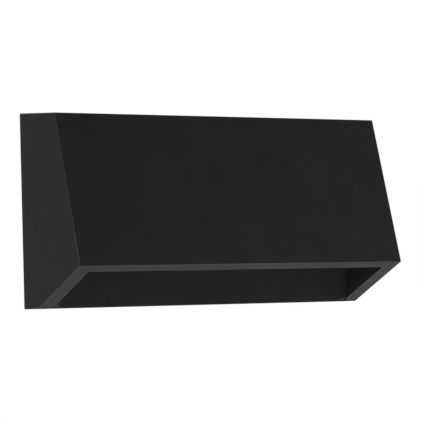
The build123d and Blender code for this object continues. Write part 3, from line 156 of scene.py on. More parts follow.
class Finish(Recipe):
    """A material being made, round one Principled shader."""

    def __init__(self, name, **constants):
        self.material = bpy.data.materials.new(name)
        super().__init__(self.material)
        self.shader = self.tree.nodes["Principled BSDF"]
        self.place = self.node("ShaderNodeTexCoord", output="Object")
        for socket, value in constants.items():
            self.shader.inputs[socket.replace("_", " ")].default_value = value

    def axis(self, name, centre=0.0):
        """The distance along X, Y or Z from a centre, in metres."""
        return self.node("ShaderNodeSeparateXYZ", inputs={0: self.place}, output=name) - centre

    def facing(self, direction):
        """How squarely the surface faces along a direction or against it, from 0 to 1."""
        normal = self.node("ShaderNodeNewGeometry", output="True Normal")
        settings = {"operation": "DOT_PRODUCT"}
        return abs(self.node("ShaderNodeVectorMath", settings, {0: normal, 1: direction}, "Value"))

    def noise(self, size, detail=2.0, stretch=None):
        """Soft random spots, about that size in metres. A stretch scales the place along each axis
        first, so that a share under 1 draws the spots out."""
        where = self.place
        if stretch:
            where = self.node("ShaderNodeMapping", inputs={0: self.place, "Scale": stretch})
        inputs = {"Vector": where, "Scale": 1 / size, "Detail": detail}
        return self.node("ShaderNodeTexNoise", inputs=inputs)

    def cells(self, size):
        """Distance from the middle of the nearest cell, for cells of about that size in metres."""
        return self.node("ShaderNodeTexVoronoi", inputs={"Vector": self.place, "Scale": 1 / size})

    def chance(self, *steps):
        """A random number from 0 to 1 that stays the same for the same steps."""
        where = self.node("ShaderNodeCombineXYZ", inputs=dict(enumerate(steps)))
        return self.node("ShaderNodeTexWhiteNoise", inputs={"Vector": where})

    def colour(self, value):
        self.join(value, self.shader.inputs["Base Color"])

    def rough(self, value):
        self.join(value, self.shader.inputs["Roughness"])

    def metal(self, value):
        self.join(value, self.shader.inputs["Metallic"])

    def bump(self, height, depth):
        """Raises the surface by up to depth, in metres, where height is 1."""
        normal = self.node("ShaderNodeBump", inputs={"Height": height, "Distance": depth})
        self.join(normal, self.shader.inputs["Normal"])

    def dress(self, *nodes):
        """Puts this finish on the CAD nodes with those names."""
        for node in nodes:
            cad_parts[node].material_slots[0].material = self.material


def grey(level):
    return (level, level, level, 1.0)


def powder_coat(name):
    """A finish with the powder's pebbles and waves. Its shade and gloss are still to be joined."""
    coat = Finish(name, Specular_IOR_Level=0.07)
    pebbles = coat.noise(0.0007, 2.5)
    waves = coat.noise(0.0050, 2.0)
    shade = coat.mix(coat.noise(0.022, 3.0).eased(0.35, 0.65), grey(0.0265), grey(0.0298))
    coat.bump(pebbles + 0.35 * waves, 0.00006)
    return coat, shade, 0.46 + 0.10 * waves + 0.06 * pebbles


box_coat, shade, gloss = powder_coat("powder_coat_black")
box_coat.colour(shade)
box_coat.rough(gloss)
box_coat.dress("back_box")

# The hood's side view, as depth and height above its foot: back, top, lip and foot
HOOD_HEIGHT = 0.075
LIP_DEPTH = 0.04215
HOOD_SIDE = ((0.0, HOOD_HEIGHT), (0.0259, 0.0733), (LIP_DEPTH, 0.0152), (0.0110, 0.0))
SIDE_WALL = 0.0062
LIP_WALL = 0.0060
FLATNESS = 0.97

# A rounded edge faces none of the hood's flat sides squarely: X, Y and the side view's runs
hood_coat, shade, gloss = powder_coat("powder_coat_hood")
flat = hood_coat.facing((1, 0, 0)).either(hood_coat.facing((0, 1, 0)))
for (depth, height), (next_depth, next_height) in zip(HOOD_SIDE, HOOD_SIDE[1:]):
    across_the_run = Vector((0, next_height - height, next_depth - depth)).normalized()
    flat = flat.either(hood_coat.facing(across_the_run))
at_a_side = abs(hood_coat.axis("X")) > cad_high.x - SIDE_WALL
at_the_lip = hood_coat.axis("Y") < LIP_WALL - LIP_DEPTH
edge = (flat < FLATNESS).both(at_a_side.either(at_the_lip))
# Painted highlight: the rounded edges at the sides and the lip get a paler grey than the powder
hood_coat.colour(hood_coat.mix(edge, shade, grey(0.090)))
hood_coat.rough(gloss - 0.08 * edge)
hood_coat.dress("hood")


# Lens frame. A tray moulded in black polycarbonate, with the fine spark-eroded grain of its
# mould on every face, screwed up into the back box.
moulded = Finish("frame_black", Specular_IOR_Level=0.35)
grain = moulded.noise(0.00022, 1.5)
moulded.colour(moulded.mix(moulded.noise(0.006), grey(0.014), grey(0.019)))
moulded.rough(0.42 + 0.18 * grain)
moulded.bump(grain, 0.00003)
moulded.dress("lens_frame")


# Lens. A strip of opal polycarbonate, frosted by a fine stipple moulded into both faces, so that
# the chips behind it blur into one line of light. It lies in the lens frame under its gasket.


def tint(red, green, blue):
    return (red, green, blue, 1.0)


opal = Finish(
    "lens_frosted",
    IOR=1.58,
    Subsurface_Weight=0.4,
    Subsurface_Scale=0.002,
    Subsurface_Radius=(1.0, 1.0, 1.0),
)
stipple = opal.cells(0.00035)
opal.colour(opal.mix(opal.noise(0.010), tint(0.80, 0.815, 0.81), tint(0.84, 0.85, 0.84)))
opal.rough(0.36 + 0.25 * stipple)
opal.bump(stipple, 0.00002)
opal.dress("diffuser_lens")


# Screws. Stainless pan heads, headed cold and thread-rolled. The large ones have a six-lobed
# drive, and the small ones that hold the boards and the terminal block have a cross. A size
# below is the shank's radius, the head's radius and height, and the thread's pitch.
M2 = (0.0010, 0.0018, 0.0013, 0.00040)
M25 = (0.00125, 0.0022, 0.0015, 0.00045)
M3 = (0.0015, 0.0025, 0.0018, 0.00050)
M4 = (0.0020, 0.0034, 0.0022, 0.00070)
DOME_FALL = 0.3
DOME_STEPS = (0.0, 0.08, 0.4, 0.75, 1.0)
DRIVE_FLOOR = 0.4
HEAD_TOP = 0.93
HEAD_RIM = ((1.0, 0.45), (1.0, 0.05), (0.97, 0.0))
THREAD_DEPTH = 0.55
ROWS_PER_TURN = 4
AROUND = 48
MERGE_DISTANCE = 1e-7
angles = np.linspace(0, 2 * pi, AROUND, endpoint=False)


def rings(*profile):
    """A profile carried round Z, as one grid. Each of its points is a radius and a height, which
    are single numbers or one number for every angle."""
    radius, height = (np.stack([part + 0 * angles for part in parts]) for parts in zip(*profile))
    return np.stack((radius * np.cos(angles), radius * np.sin(angles), height), axis=-1)


def thread(radius, pitch, start, end):
    """A threaded stretch about Z: the radius is less by a triangle wave of height / pitch + angle /
    one turn, which fades out over one pitch at both ends."""
    rows = max(2, int(abs(end - start) / pitch * ROWS_PER_TURN))
    height = np.linspace(start, end, rows)[:, None]
    wave = np.abs(2 * ((height / pitch + angles / (2 * pi)) % 1) - 1)
    fade = np.clip(np.minimum(np.abs(height - start), np.abs(height - end)) / pitch, 0, 1)
    reach = radius - THREAD_DEPTH * pitch * wave * fade
    return np.stack((reach * np.cos(angles), reach * np.sin(angles), height + 0 * reach), axis=-1)


def lobed(radius, lobes, swing):
    """A drive's outline: its radius at angle a is radius x (1 + swing x cos(lobes x a))."""
    return radius * (1 + swing * np.cos(lobes * angles))


def pan_screw(size, length, drive):
    """A screw about Z, head up, with its seat at height 0. The head's top is a dome that falls with
    the square of the radius, and the drive's walls follow its outline down."""
    shank, head, height, pitch = size
    floor = DRIVE_FLOOR * height
    steps = [drive + share * (HEAD_TOP * head - drive) for share in DOME_STEPS]
    dome = [(reach, height * (1 - DOME_FALL * (reach / head) ** 2)) for reach in steps]
    rim = [(out * head, up * height) for out, up in HEAD_RIM]
    top = rings((0.0, floor), (0.9 * drive, floor), *dome, *rim, (shank, 0.0))
    tip = rings((shank - THREAD_DEPTH * pitch, -length), (0.0, -length))
    return np.concatenate((top, thread(shank, pitch, 0.0, 0.5 * pitch - length), tip))


def aimed(direction):
    """The turn that leaves X where it is and carries Z onto a direction square to it."""
    first = np.array((1.0, 0.0, 0.0))
    return np.stack((first, np.cross(direction, first), direction))


def corners(node):
    """The lowest and the highest corner of a CAD node."""
    return [np.array(corner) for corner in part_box(node)]


def surface(name, sheets, ring_joined=False, crease=35):
    """A mesh from grids of points [along, around, xyz], each closed around. Every cell becomes a
    four-sided face, points that meet are merged, and the faces are turned outwards. An edge
    sharper than the crease, in degrees, stays sharp."""
    faces = []
    first = 0
    for points in sheets:
        index = first + np.arange(points.shape[0] * points.shape[1]).reshape(points.shape[:2])
        down = np.roll(index, -1, axis=0)
        beside = (np.roll(down, -1, axis=1), np.roll(index, -1, axis=1))
        cells = np.stack((index, down, *beside), axis=-1)
        faces.append((cells if ring_joined else cells[:-1]).reshape(-1, 4))
        first += index.size
    places = np.concatenate([points.reshape(-1, 3) for points in sheets])
    mesh = bpy.data.meshes.new(name)
    mesh.from_pydata(places.tolist(), [], np.concatenate(faces).tolist())
    work = bmesh.new()
    work.from_mesh(mesh)
    bmesh.ops.remove_doubles(work, verts=work.verts, dist=MERGE_DISTANCE)
    bmesh.ops.recalc_face_normals(work, faces=work.faces)
    work.to_mesh(mesh)
    work.free()
    mesh.shade_smooth()
    mesh.set_sharp_from_angle(angle=radians(crease))
    piece = bpy.data.objects.new(name, mesh)
    bpy.context.scene.collection.objects.link(piece)
    return piece


def joins(piece, finish):
    """Puts a piece on the object, with its finish."""
    piece.data.materials.append(finish.material)
    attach(piece, "root")


def takes_over(piece, node, finish):
    """Puts a piece in the place of a CAD node, which it hides, with its finish."""
    joins(piece, finish)
    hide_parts(node)


def drive_in(node, size, direction, drive, finish, columns=2, rows=2, kept=slice(None)):
    """Makes a node's screws, heads facing the direction, on the even grid that its box gives. Of
    the grid's places, column by column, only those kept get a screw."""
    low, high = corners(node)
    direction = np.array(direction, float)
    along = int(np.abs(direction).argmax())
    first, second = (axis for axis in range(3) if axis != along)
    head, height = size[1:3]
    top = high[along] if direction[along] > 0 else low[along]
    points = pan_screw(size, high[along] - low[along] - height, drive) @ aimed(direction)
    places = np.zeros((columns, rows, 3))
    places[..., first] = np.linspace(low[first] + head, high[first] - head, columns)[:, None]
    places[..., second] = np.linspace(low[second] + head, high[second] - head, rows)
    places[..., along] = top - direction[along] * height
    sheets = [points + place for place in places.reshape(-1, 3)[kept]]
    takes_over(surface(node + "_threaded", sheets), node, finish)


def bright_metal(name, dull, bright, rough, blotch=0.004):
    """A bare metal whose colour and gloss wander over soft blotches, with fine scratches across X."""
    metal = Finish(name, Metallic=1.0)
    clouds = metal.noise(blotch, 3.0)
    scratches = metal.noise(0.0012, 3.0, stretch=(8.0, 1.0, 1.0))
    metal.colour(metal.mix(clouds.eased(0.3, 0.7), dull, bright))
    metal.rough(rough + 0.16 * clouds + 0.10 * scratches)
    metal.bump(scratches, 0.000012)
    return metal


stainless = bright_metal("stainless_steel", grey(0.50), tint(0.60, 0.60, 0.59), 0.22)
lobes_m3 = lobed(0.00125, 6, 0.13)
lobes_m4 = lobed(0.00165, 6, 0.13)
cross_m2 = lobed(0.00070, 4, 0.45)
cross_m25 = lobed(0.00085, 4, 0.45)
first_and_last = slice(None, None, 3)
drive_in("hood_screws", M3, (0, 1, 0), lobes_m3, stainless)
drive_in("rear_screws", M3, (0, 1, 0), lobes_m3, stainless, columns=3)
drive_in("lens_screws", M3, (0, 0, -1), lobes_m3, stainless)
drive_in("fixing_screws", M4, (0, 0, -1), lobes_m4, stainless, rows=1)
drive_in("board_screws", M25, (0, 0, -1), cross_m25, stainless, rows=1)
drive_in("driver_screws", M2, (0, 0, 1), cross_m2, stainless)
drive_in("terminal_fixings", M25, (0, 1, 0), cross_m25, stainless, kept=first_and_last)


# Wall bracket. Pressed from 1.5 mm steel and plated with bright zinc, which shows soft cloudy
# patches and the draw marks of the sheet. It is screwed to the wall through its two slots.
zinc_dull = tint(0.50, 0.52, 0.55)
zinc_bright = tint(0.62, 0.63, 0.65)
zinc = bright_metal("zinc_steel", zinc_dull, zinc_bright, 0.30, blotch=0.007)
zinc.dress("wall_bracket")


# Clinch nuts. Hexagon nuts of zinc-plated steel with a knurled spigot, pressed into the bracket's
# bottom tabs and tapped for the fixing screws.
NUT_RADIUS = 0.0032
NUT_SPIGOT = 0.0026
NUT_BODY = 0.0020
NUT_CHAMFER = 0.0003
NUT_BEVEL = 0.91
KNURL_DEPTH = 0.02
TAPPING_GAP = 0.00005
MOUTH_CHAMFER = 0.0002
low, high = corners("clinch_nuts")
bore = M4[0] + TAPPING_GAP
hexagon = NUT_RADIUS * cos(radians(30)) / np.cos(angles % radians(60) - radians(30))
bevelled = np.minimum(hexagon, NUT_BEVEL * NUT_RADIUS)
knurl = NUT_SPIGOT * (1 - KNURL_DEPTH * (np.arange(AROUND) % 2))
top = high[2]
shoulder = top - NUT_BODY
outside = rings(
    (bore + MOUTH_CHAMFER, top),
    (bevelled, top),
    (hexagon, top - NUT_CHAMFER),
    (hexagon, shoulder),
    (knurl, shoulder),
    (knurl, low[2]),
    (bore, low[2]),
)
nut = np.concatenate((outside, thread(bore, M4[3], low[2], top - MOUTH_CHAMFER)))
middle = (low + high) / 2
nut_places = [np.array((side * (high[0] - NUT_RADIUS), middle[1], 0.0)) for side in (-1, 1)]
nuts = surface("clinch_nuts_tapped", [nut + place for place in nut_places], ring_joined=True)
takes_over(nuts, "clinch_nuts", zinc)


# Rear cover. A blank of half-hard aluminium sheet, brushed along its length. It closes the wiring
# chamber, under six screws round its edge.
sheet = Finish("cover_aluminium", Metallic=1.0)
brushing = sheet.noise(0.0009, 4.0, stretch=(0.03, 1.0, 1.0))
smudges = sheet.noise(0.015, 2.0)
sheet.colour(sheet.mix(brushing.eased(0.3, 0.7), tint(0.56, 0.57, 0.58), tint(0.68, 0.69, 0.70)))
sheet.rough(0.26 + 0.20 * brushing + 0.12 * smudges)
sheet.bump(brushing, 0.00002)
sheet.dress("rear_cover")


# Wall gasket. A soft silicone foam cord with a rounded face, pressed into the hood's back
# groove and left open at the foot so that water drains. The rings that seal the rear cover and
# the lens are the same foam.
GASKET_CORNER = 0.002
GASKET_CROWN = 0.0007
HALF_WIDTH_TO_DEPTH = 2 / 3
ARC_STEPS = 10


def arc(centre, radius, start, end):
    """Points on an arc in the X-Z plane, from one angle to another in degrees."""
    angle = np.radians(np.linspace(start, end, ARC_STEPS))
    x = centre[0] + radius * np.cos(angle)
    z = centre[1] + radius * np.sin(angle)
    return np.stack((x, 0 * angle, z), axis=-1)


def swept(path, side, section):
    """A closed section of offsets (along side, square to it) carried along a path that lies square
    to side. The second offset runs along side x tangent, and both ends are closed."""
    side = np.array(side, float)
    tangent = np.gradient(path, axis=0)
    tangent /= np.linalg.norm(tangent, axis=1, keepdims=True)
    square = np.cross(side, tangent)
    body = path[:, None] + section[:, :1] * side + section[:, 1:] * square[:, None]
    caps = [np.repeat(end.mean(axis=0)[None, None], len(section), axis=1) for end in body[[0, -1]]]
    return np.concatenate((caps[0], body, caps[1]))


low, high = corners("wall_gasket")
half_cord = HALF_WIDTH_TO_DEPTH * (high[1] - low[1])
inset = high - half_cord - GASKET_CORNER
left_foot = [(half_cord - high[0], 0.0, low[2])]
right_foot = [(high[0] - half_cord, 0.0, low[2])]
left_bend = arc((-inset[0], inset[2]), GASKET_CORNER, 180, 90)
right_bend = arc((inset[0], inset[2]), GASKET_CORNER, 90, 0)
crown = np.linspace(0, pi, ARC_STEPS)
rounded_face = np.stack((GASKET_CROWN * (np.sin(crown) - 1), half_cord * np.cos(crown)), axis=-1)
flat_root = np.array([(low[1], -half_cord), (low[1], half_cord)])
route = np.concatenate((left_foot, left_bend, right_bend, right_foot))
cord_section = np.concatenate((rounded_face, flat_root))
gasket = surface("wall_gasket_cord", [swept(route, (0, 1, 0), cord_section)])
foam = Finish("gasket_rubber", Specular_IOR_Level=0.25)
pores = foam.cells(0.00045)
foam.colour(foam.mix(pores.eased(0.1, 0.6), grey(0.018), grey(0.034)))
foam.rough(0.72 + 0.18 * pores)
foam.bump(pores, 0.00010)
takes_over(gasket, "wall_gasket", foam)
foam.dress("rear_gasket", "lens_gasket")


# Cable grommet. Soft black rubber, snapped into the rear cover by its neck, with two sealing
# beads on its face and a tapered nose that grips the cable. The bush between the wiring chamber
# and the LED board is the same rubber.
GROMMET_BORE = 0.0034
GROMMET_FLANGE = 0.0074
GROMMET_NECK = 0.0054
GROMMET_TIP = 0.0043
GROMMET_LIP = 0.0016
COVER_SHEET = 0.0015
BEAD_STARTS = (0.0044, 0.0058)
BEAD_WIDTH = 0.0009
BEAD_HEIGHT = 0.0003
MOUTH_ROUNDING = 0.0004
ROUNDING = 0.0003
EASE = 0.0002
SLIGHT_EASE = 0.0001
low, high = corners("cable_grommet")
shares = np.linspace(0, 1, 5)
swell = BEAD_HEIGHT * (np.sin(pi * shares) - 1)
beads = [zip(start + BEAD_WIDTH * shares, swell) for start in BEAD_STARTS]
inner_face = -GROMMET_LIP - COVER_SHEET
nose_end = low[1] - high[1]
grommet = rings(
    (GROMMET_BORE, -BEAD_HEIGHT - ROUNDING),
    (GROMMET_BORE + MOUTH_ROUNDING, -BEAD_HEIGHT),
    *beads[0],
    *beads[1],
    (GROMMET_FLANGE - ROUNDING, -BEAD_HEIGHT),
    (GROMMET_FLANGE, -BEAD_HEIGHT - ROUNDING),
    (GROMMET_FLANGE, -GROMMET_LIP),
    (GROMMET_NECK, -GROMMET_LIP),
    (GROMMET_NECK, inner_face),
    (GROMMET_FLANGE - SLIGHT_EASE, inner_face),
    (GROMMET_FLANGE, inner_face - EASE),
    (GROMMET_NECK, inner_face - GROMMET_LIP),
    (GROMMET_TIP, nose_end + EASE),
    (GROMMET_TIP - EASE, nose_end),
    (GROMMET_BORE + SLIGHT_EASE, nose_end),
    (GROMMET_BORE, nose_end + SLIGHT_EASE),
)
middle = (low + high) / 2
middle[1] = high[1]
beaded = surface("cable_grommet_beaded", [grommet @ aimed((0, 1, 0)) + middle], ring_joined=True)
rubber = Finish("grommet_rubber", Specular_IOR_Level=0.3)
bloom = rubber.noise(0.0030, 3.0)
rubber.colour(rubber.mix(bloom.eased(0.4, 0.75), grey(0.024), grey(0.040)))
rubber.rough(0.50 + 0.22 * bloom)
rubber.bump(rubber.noise(0.0004), 0.00002)
takes_over(beaded, "cable_grommet", rubber)
rubber.dress("feed_bush")


# Thermal pad. Blue-grey silicone on a glass cloth, whose weave shows through on both faces. It
# is squeezed between the LED board and the back box.
WEAVE = 0.0005
pad = Finish("thermal_pad", Specular_IOR_Level=0.3)
warp = (pad.axis("X") / WEAVE) % 1
weft = (pad.axis("Y") / WEAVE) % 1
cloth = abs(warp - 0.5) + abs(weft - 0.5)
pad.colour(pad.mix(cloth, tint(0.27, 0.39, 0.49), tint(0.33, 0.45, 0.54)))
pad.rough(0.60 + 0.15 * cloth)
pad.bump(cloth, 0.00003)
pad.dress("thermal_pad")


# LED board. An aluminium-cored board with white solder mask on its underside, copper links from
# chip to chip and a rail along each edge, all showing as slight steps under the mask.
LED_COUNT = 11
LED_LENGTH = 0.0028
LINK_HALF = 0.0012
LINK_LAP = 0.0004
RAIL_OFFSET = 0.0035
RAIL_HALF = 0.0005
MASK_DEPTH = 0.0001
low, high = corners("led_board")
chip_low, chip_high = corners("led_chips")
led_pitch = (chip_high[0] - chip_low[0] - LED_LENGTH) / (LED_COUNT - 1)
strip = Finish("led_board", Specular_IOR_Level=0.45)
off_chip = strip.axis("X").off_centre(led_pitch)
off_line = abs(strip.axis("Y", (low[1] + high[1]) / 2))
link = (off_line < LINK_HALF).both(off_chip > LED_LENGTH / 2 - LINK_LAP)
copper = link.either(abs(off_line - RAIL_OFFSET) < RAIL_HALF)
core = strip.axis("Z", low[2]) > MASK_DEPTH
mask = strip.mix(copper, tint(0.80, 0.81, 0.79), tint(0.73, 0.73, 0.69))
strip.colour(strip.mix(core, mask, tint(0.60, 0.61, 0.62)))
strip.metal(core)
strip.rough(0.34 + 0.14 * strip.noise(0.002))
strip.bump(copper + 0.15 * strip.noise(0.0006), 0.00004)
strip.dress("led_board")


# LED chips. White moulded bodies with a reflector cup, filled with yellow phosphor resin that
# stands a little proud in the middle, soldered to the board in one row.
CUP = 0.72
CUP_WALL = 0.04


def rounded(half_length, half_width, power=8):
    """A rounded rectangle's radius at angle a: (|cos a / length| ^ power + |sin a / width| ^ power)
    to the power of -1 / power."""
    reach = np.abs(np.cos(angles) / half_length) ** power + np.abs(np.sin(angles) / half_width) ** power
    return reach ** (-1 / power)


led_width = chip_high[1] - chip_low[1]
led_height = chip_high[2] - chip_low[2]
led_outline = rounded(LED_LENGTH / 2, led_width / 2, power=14)

# Each point is a share of the outline and a share of the height
led_profile = (
    (0.0, 0.80),
    (0.30, 0.79),
    (0.55, 0.74),
    (CUP - CUP_WALL, 0.66),
    (CUP, 1.0),
    (0.95, 1.0),
    (1.0, 0.90),
    (1.0, 0.0),
    (0.0, 0.0),
)
chip = rings(*[(share * led_outline, rise * led_height) for share, rise in led_profile])
chip = chip @ aimed((0, 0, -1))
chip_line = np.linspace(chip_low[0] + LED_LENGTH / 2, chip_high[0] - LED_LENGTH / 2, LED_COUNT)
chip_middle = (chip_low[1] + chip_high[1]) / 2
chip_places = [np.array((x, chip_middle, chip_high[2])) for x in chip_line]
chips = surface("led_chips_filled", [chip + place for place in chip_places])
phosphor = Finish("led_phosphor", Specular_IOR_Level=0.5)
off_long_middle = phosphor.axis("X").off_centre(led_pitch) / (LED_LENGTH / 2)
off_short_middle = abs(phosphor.axis("Y", chip_middle)) / (led_width / 2)
resin = off_long_middle.either(off_short_middle) < CUP - CUP_WALL / 2
amber = phosphor.mix(phosphor.noise(0.0002), tint(0.78, 0.55, 0.08), tint(0.88, 0.66, 0.14))
phosphor.colour(phosphor.mix(resin, grey(0.80), amber))
phosphor.rough(0.42 - 0.12 * resin + 0.10 * phosphor.noise(0.0004))
phosphor.bump(phosphor.noise(0.00015), 0.000006)
takes_over(chips, "led_chips", phosphor)


# Driver board. Glass epoxy with green solder mask: tracks run square to each other under the
# mask, with tinned rings where wires pass through, and pale fibres show at the sawn edges.
TRACK = 0.0016
TRACK_RUN = 0.0045
TRACK_SHARE = 0.42
RING_OUTER = 0.0007
RING_INNER = 0.0003
LACQUER_DEPTH = 0.00005
OTHER_DRAW = 7.0
low, high = corners("driver_board")
circuit = Finish("driver_board", Specular_IOR_Level=0.45)
east = circuit.axis("X", low[0])
north = circuit.axis("Y", low[1])
row, column = (north / TRACK).floor(), (east / TRACK).floor()
east_run, north_run = (east / TRACK_RUN).floor(), (north / TRACK_RUN).floor()
across = ((north / TRACK) % 1 < TRACK_SHARE).both(circuit.chance(row, east_run) > 0.35)
down = ((east / TRACK) % 1 < TRACK_SHARE).both(circuit.chance(column, north_run, OTHER_DRAW) > 0.55)
track = across.either(down)
off_east, off_north = east.off_centre(TRACK_RUN), north.off_centre(TRACK_RUN)
off_ring = (off_east * off_east + off_north * off_north).root()
tinned_ring = (off_ring < RING_OUTER).both(off_ring > RING_INNER)
off_core = abs(circuit.axis("Z", (low[2] + high[2]) / 2))
face = off_core > (high[2] - low[2]) / 2 - LACQUER_DEPTH
lacquer = circuit.mix(track, tint(0.020, 0.12, 0.050), tint(0.040, 0.20, 0.085))
lacquer = circuit.mix(tinned_ring, lacquer, grey(0.62))
fibres = circuit.mix(circuit.noise(0.0004), tint(0.33, 0.34, 0.20), tint(0.46, 0.45, 0.28))
circuit.colour(circuit.mix(face, fibres, lacquer))
circuit.metal(tinned_ring.both(face))
circuit.rough(0.30 + 0.12 * circuit.noise(0.003) + 0.25 * (1 - face))
circuit.bump(track.both(face) + 0.2 * circuit.noise(0.0005), 0.00004)
circuit.dress("driver_board")


# Transformer. Two E-shaped ferrite halves, ground where they meet, round a bobbin whose winding
# is wrapped in yellow polyester tape.
SEAM_HALF = 0.00008
FLANGE = 0.0009
TAPE_STEP = 0.0021
LAP_SHARE = 0.06
WINDING_LIFT = 0.00195
low, high = corners("transformer_core")
ferrite = Finish("ferrite", Specular_IOR_Level=0.4)
specks = ferrite.noise(0.0003, 3.0)
seam = abs(ferrite.axis("Z", (low[2] + high[2]) / 2)) < SEAM_HALF
ferrite.colour(ferrite.mix(seam, ferrite.mix(specks, grey(0.045), grey(0.075)), grey(0.010)))
ferrite.rough(0.55 + 0.25 * specks)
ferrite.bump(specks - seam, 0.00005)
ferrite.dress("transformer_core")
coil_top = corners("transformer_coil")[1][2]
tape = Finish("coil_tape", Specular_IOR_Level=0.5)
from_top = coil_top - tape.axis("Z")
bobbin = (from_top < FLANGE).either(tape.axis("Z") < low[2] + WINDING_LIFT + FLANGE)
lap = (from_top / TAPE_STEP) % 1
film = tape.mix(tape.noise(0.004), tint(0.66, 0.44, 0.05), tint(0.78, 0.55, 0.09))
film = tape.mix(lap < LAP_SHARE, film, tint(0.45, 0.29, 0.03))
tape.colour(tape.mix(bobbin, film, tint(0.030, 0.022, 0.018)))
tape.rough(0.26 + 0.22 * bobbin + 0.12 * tape.noise(0.0012))
tape.bump(lap * (1 - bobbin) + 0.3 * tape.noise(0.0020), 0.00006)
tape.dress("transformer_coil")


# Capacitors. Aluminium cans in a dark shrink sleeve that curls over the rim, rolled in above the
# rubber bung, with a scored vent in the bare top and a pale stripe on the side of the minus lead.
ROLL_START = 0.0016
ROLL_LENGTH = 0.0014
ROLL_DEPTH = 0.07
SLEEVE_CURL = 0.0010
CURL_ROUNDING = 0.0005
FOOT_STEP = 0.0004
TOP_SINK = 0.0002
STRIPE_START = 0.90
SLEEVE_SHARE = 0.85
SCORE_HALF = 0.0001
SCORE_SHARE = 0.6


def capacitor(node, finish_name):
    """A can about Z, from the node's box. Over the rolled stretch its radius dips with the square of
    half a sine wave."""
    low, high = corners(node)
    radius = (high[0] - low[0]) / 2
    height = high[2] - low[2]
    foot = (low + high) / 2
    foot[2] = low[2]
    shares = np.linspace(0, 1, 9)
    dips = 1 - ROLL_DEPTH * np.sin(pi * shares) ** 2
    can = rings(
        (0.0, 0.0),
        (radius - FOOT_STEP, 0.0),
        (radius - FOOT_STEP / 4, FOOT_STEP / 2),
        *zip(radius * dips, ROLL_START + ROLL_LENGTH * shares),
        (radius, height - CURL_ROUNDING),
        (radius - 0.3 * CURL_ROUNDING, height - 0.3 * CURL_ROUNDING),
        (radius - CURL_ROUNDING, height),
        (radius - SLEEVE_CURL, height - 0.2 * TOP_SINK),
        (radius - SLEEVE_CURL - TOP_SINK, height - TOP_SINK),
        (0.0, height - TOP_SINK),
    )
    sleeve = Finish(finish_name, Specular_IOR_Level=0.5)
    east = sleeve.axis("X", foot[0])
    north = sleeve.axis("Y", foot[1])
    reach = (east * east + north * north).root()
    top = (sleeve.axis("Z", high[2]) > -1.5 * TOP_SINK).both(reach < radius - SLEEVE_CURL)
    stripe = (east > STRIPE_START * radius).both(reach > SLEEVE_SHARE * radius)
    cross = (abs(east) < SCORE_HALF).either(abs(north) < SCORE_HALF)
    score = cross.both(reach < SCORE_SHARE * radius).both(top)
    skin = sleeve.mix(stripe, tint(0.030, 0.042, 0.075), tint(0.42, 0.46, 0.50))
    sleeve.colour(sleeve.mix(top, skin, sleeve.mix(score, grey(0.66), grey(0.25))))
    sleeve.metal(top)
    sleeve.rough(0.28 + 0.12 * sleeve.noise(0.0020))
    sleeve.bump(0.3 * sleeve.noise(0.0015) - score, 0.00008)
    takes_over(surface(node + "_sleeved", [can + foot]), node, sleeve)


capacitor("input_capacitor", "capacitor_sleeve_large")
capacitor("output_capacitor", "capacitor_sleeve_small")


# Control chip and bridge rectifier. Black epoxy bodies, moulded with a few degrees of draft,
# whose tinned legs bend down and out onto the board.
DRAFT = 0.95
FLAT_TOP = 0.90
TOP_EASE = 0.00015
BODY_LIFT = 0.0001
LEG_SHEET = 0.00020
LEG_BEND = 0.00020
LEG_OUT = 0.00055
LEG_REACH = 0.0007


def moulded_body(middle, half_length, half_width, bottom, top):
    """A rounded block about Z that is widest at half its height, where the mould parts."""
    outline = rounded(half_length, half_width, power=16)
    profile = (
        (0.0, top),
        (FLAT_TOP, top),
        (DRAFT, top - TOP_EASE),
        (1.0, (bottom + top) / 2),
        (DRAFT, bottom),
        (0.0, bottom),
    )
    return rings(*[(share * outline, height) for share, height in profile]) + middle


epoxy = Finish("epoxy_black", Specular_IOR_Level=0.4)
dust = epoxy.noise(0.00015, 2.0)
epoxy.colour(epoxy.mix(dust, grey(0.020), grey(0.030)))
epoxy.rough(0.50 + 0.20 * dust)
epoxy.bump(dust, 0.000015)
tin_dull = tint(0.58, 0.58, 0.56)
tin_bright = tint(0.72, 0.72, 0.70)
tinned = bright_metal("tinned_copper", tin_dull, tin_bright, 0.24, blotch=0.002)


def packaged(node, leg_width, offsets, out_axis):
    """A body and its legs inside the node's box. The legs leave the body's waist along X or Y, the
    out axis, then bend down, and out again along the board."""
    low, high = corners(node)
    middle = (low + high) / 2
    middle[2] = 0.0
    half = (high - low)[:2] / 2
    reach = half[out_axis]
    half[out_axis] -= LEG_REACH
    bottom = low[2] + BODY_LIFT
    body = surface(node + "_body", [moulded_body(middle, *half, bottom, high[2])])
    takes_over(body, node, epoxy)
    start, knee = half[out_axis], reach - LEG_OUT
    waist, on_board = (bottom + high[2]) / 2, low[2] + LEG_SHEET / 2
    outwards = np.array((start - LEG_BEND, start + LEG_BEND, knee, knee, reach))
    heights = (waist, waist, waist - LEG_BEND, on_board, on_board)
    section = np.array([(-1, -1), (1, -1), (1, 1), (-1, 1)]) * (leg_width / 2, LEG_SHEET / 2)
    legs = []
    for side in (-1, 1):
        for offset in offsets:
            path = np.full((5, 3), offset)
            path[:, out_axis] = side * outwards
            path[:, 2] = heights
            legs.append(swept(path, np.eye(3)[1 - out_axis], section) + middle)
    joins(surface(node + "_legs", legs), tinned)


packaged("control_chip", 0.0004, (-0.0018, -0.0006, 0.0006, 0.0018), out_axis=1)
packaged("bridge_rectifier", 0.0008, (-0.0012, 0.0012), out_axis=0)


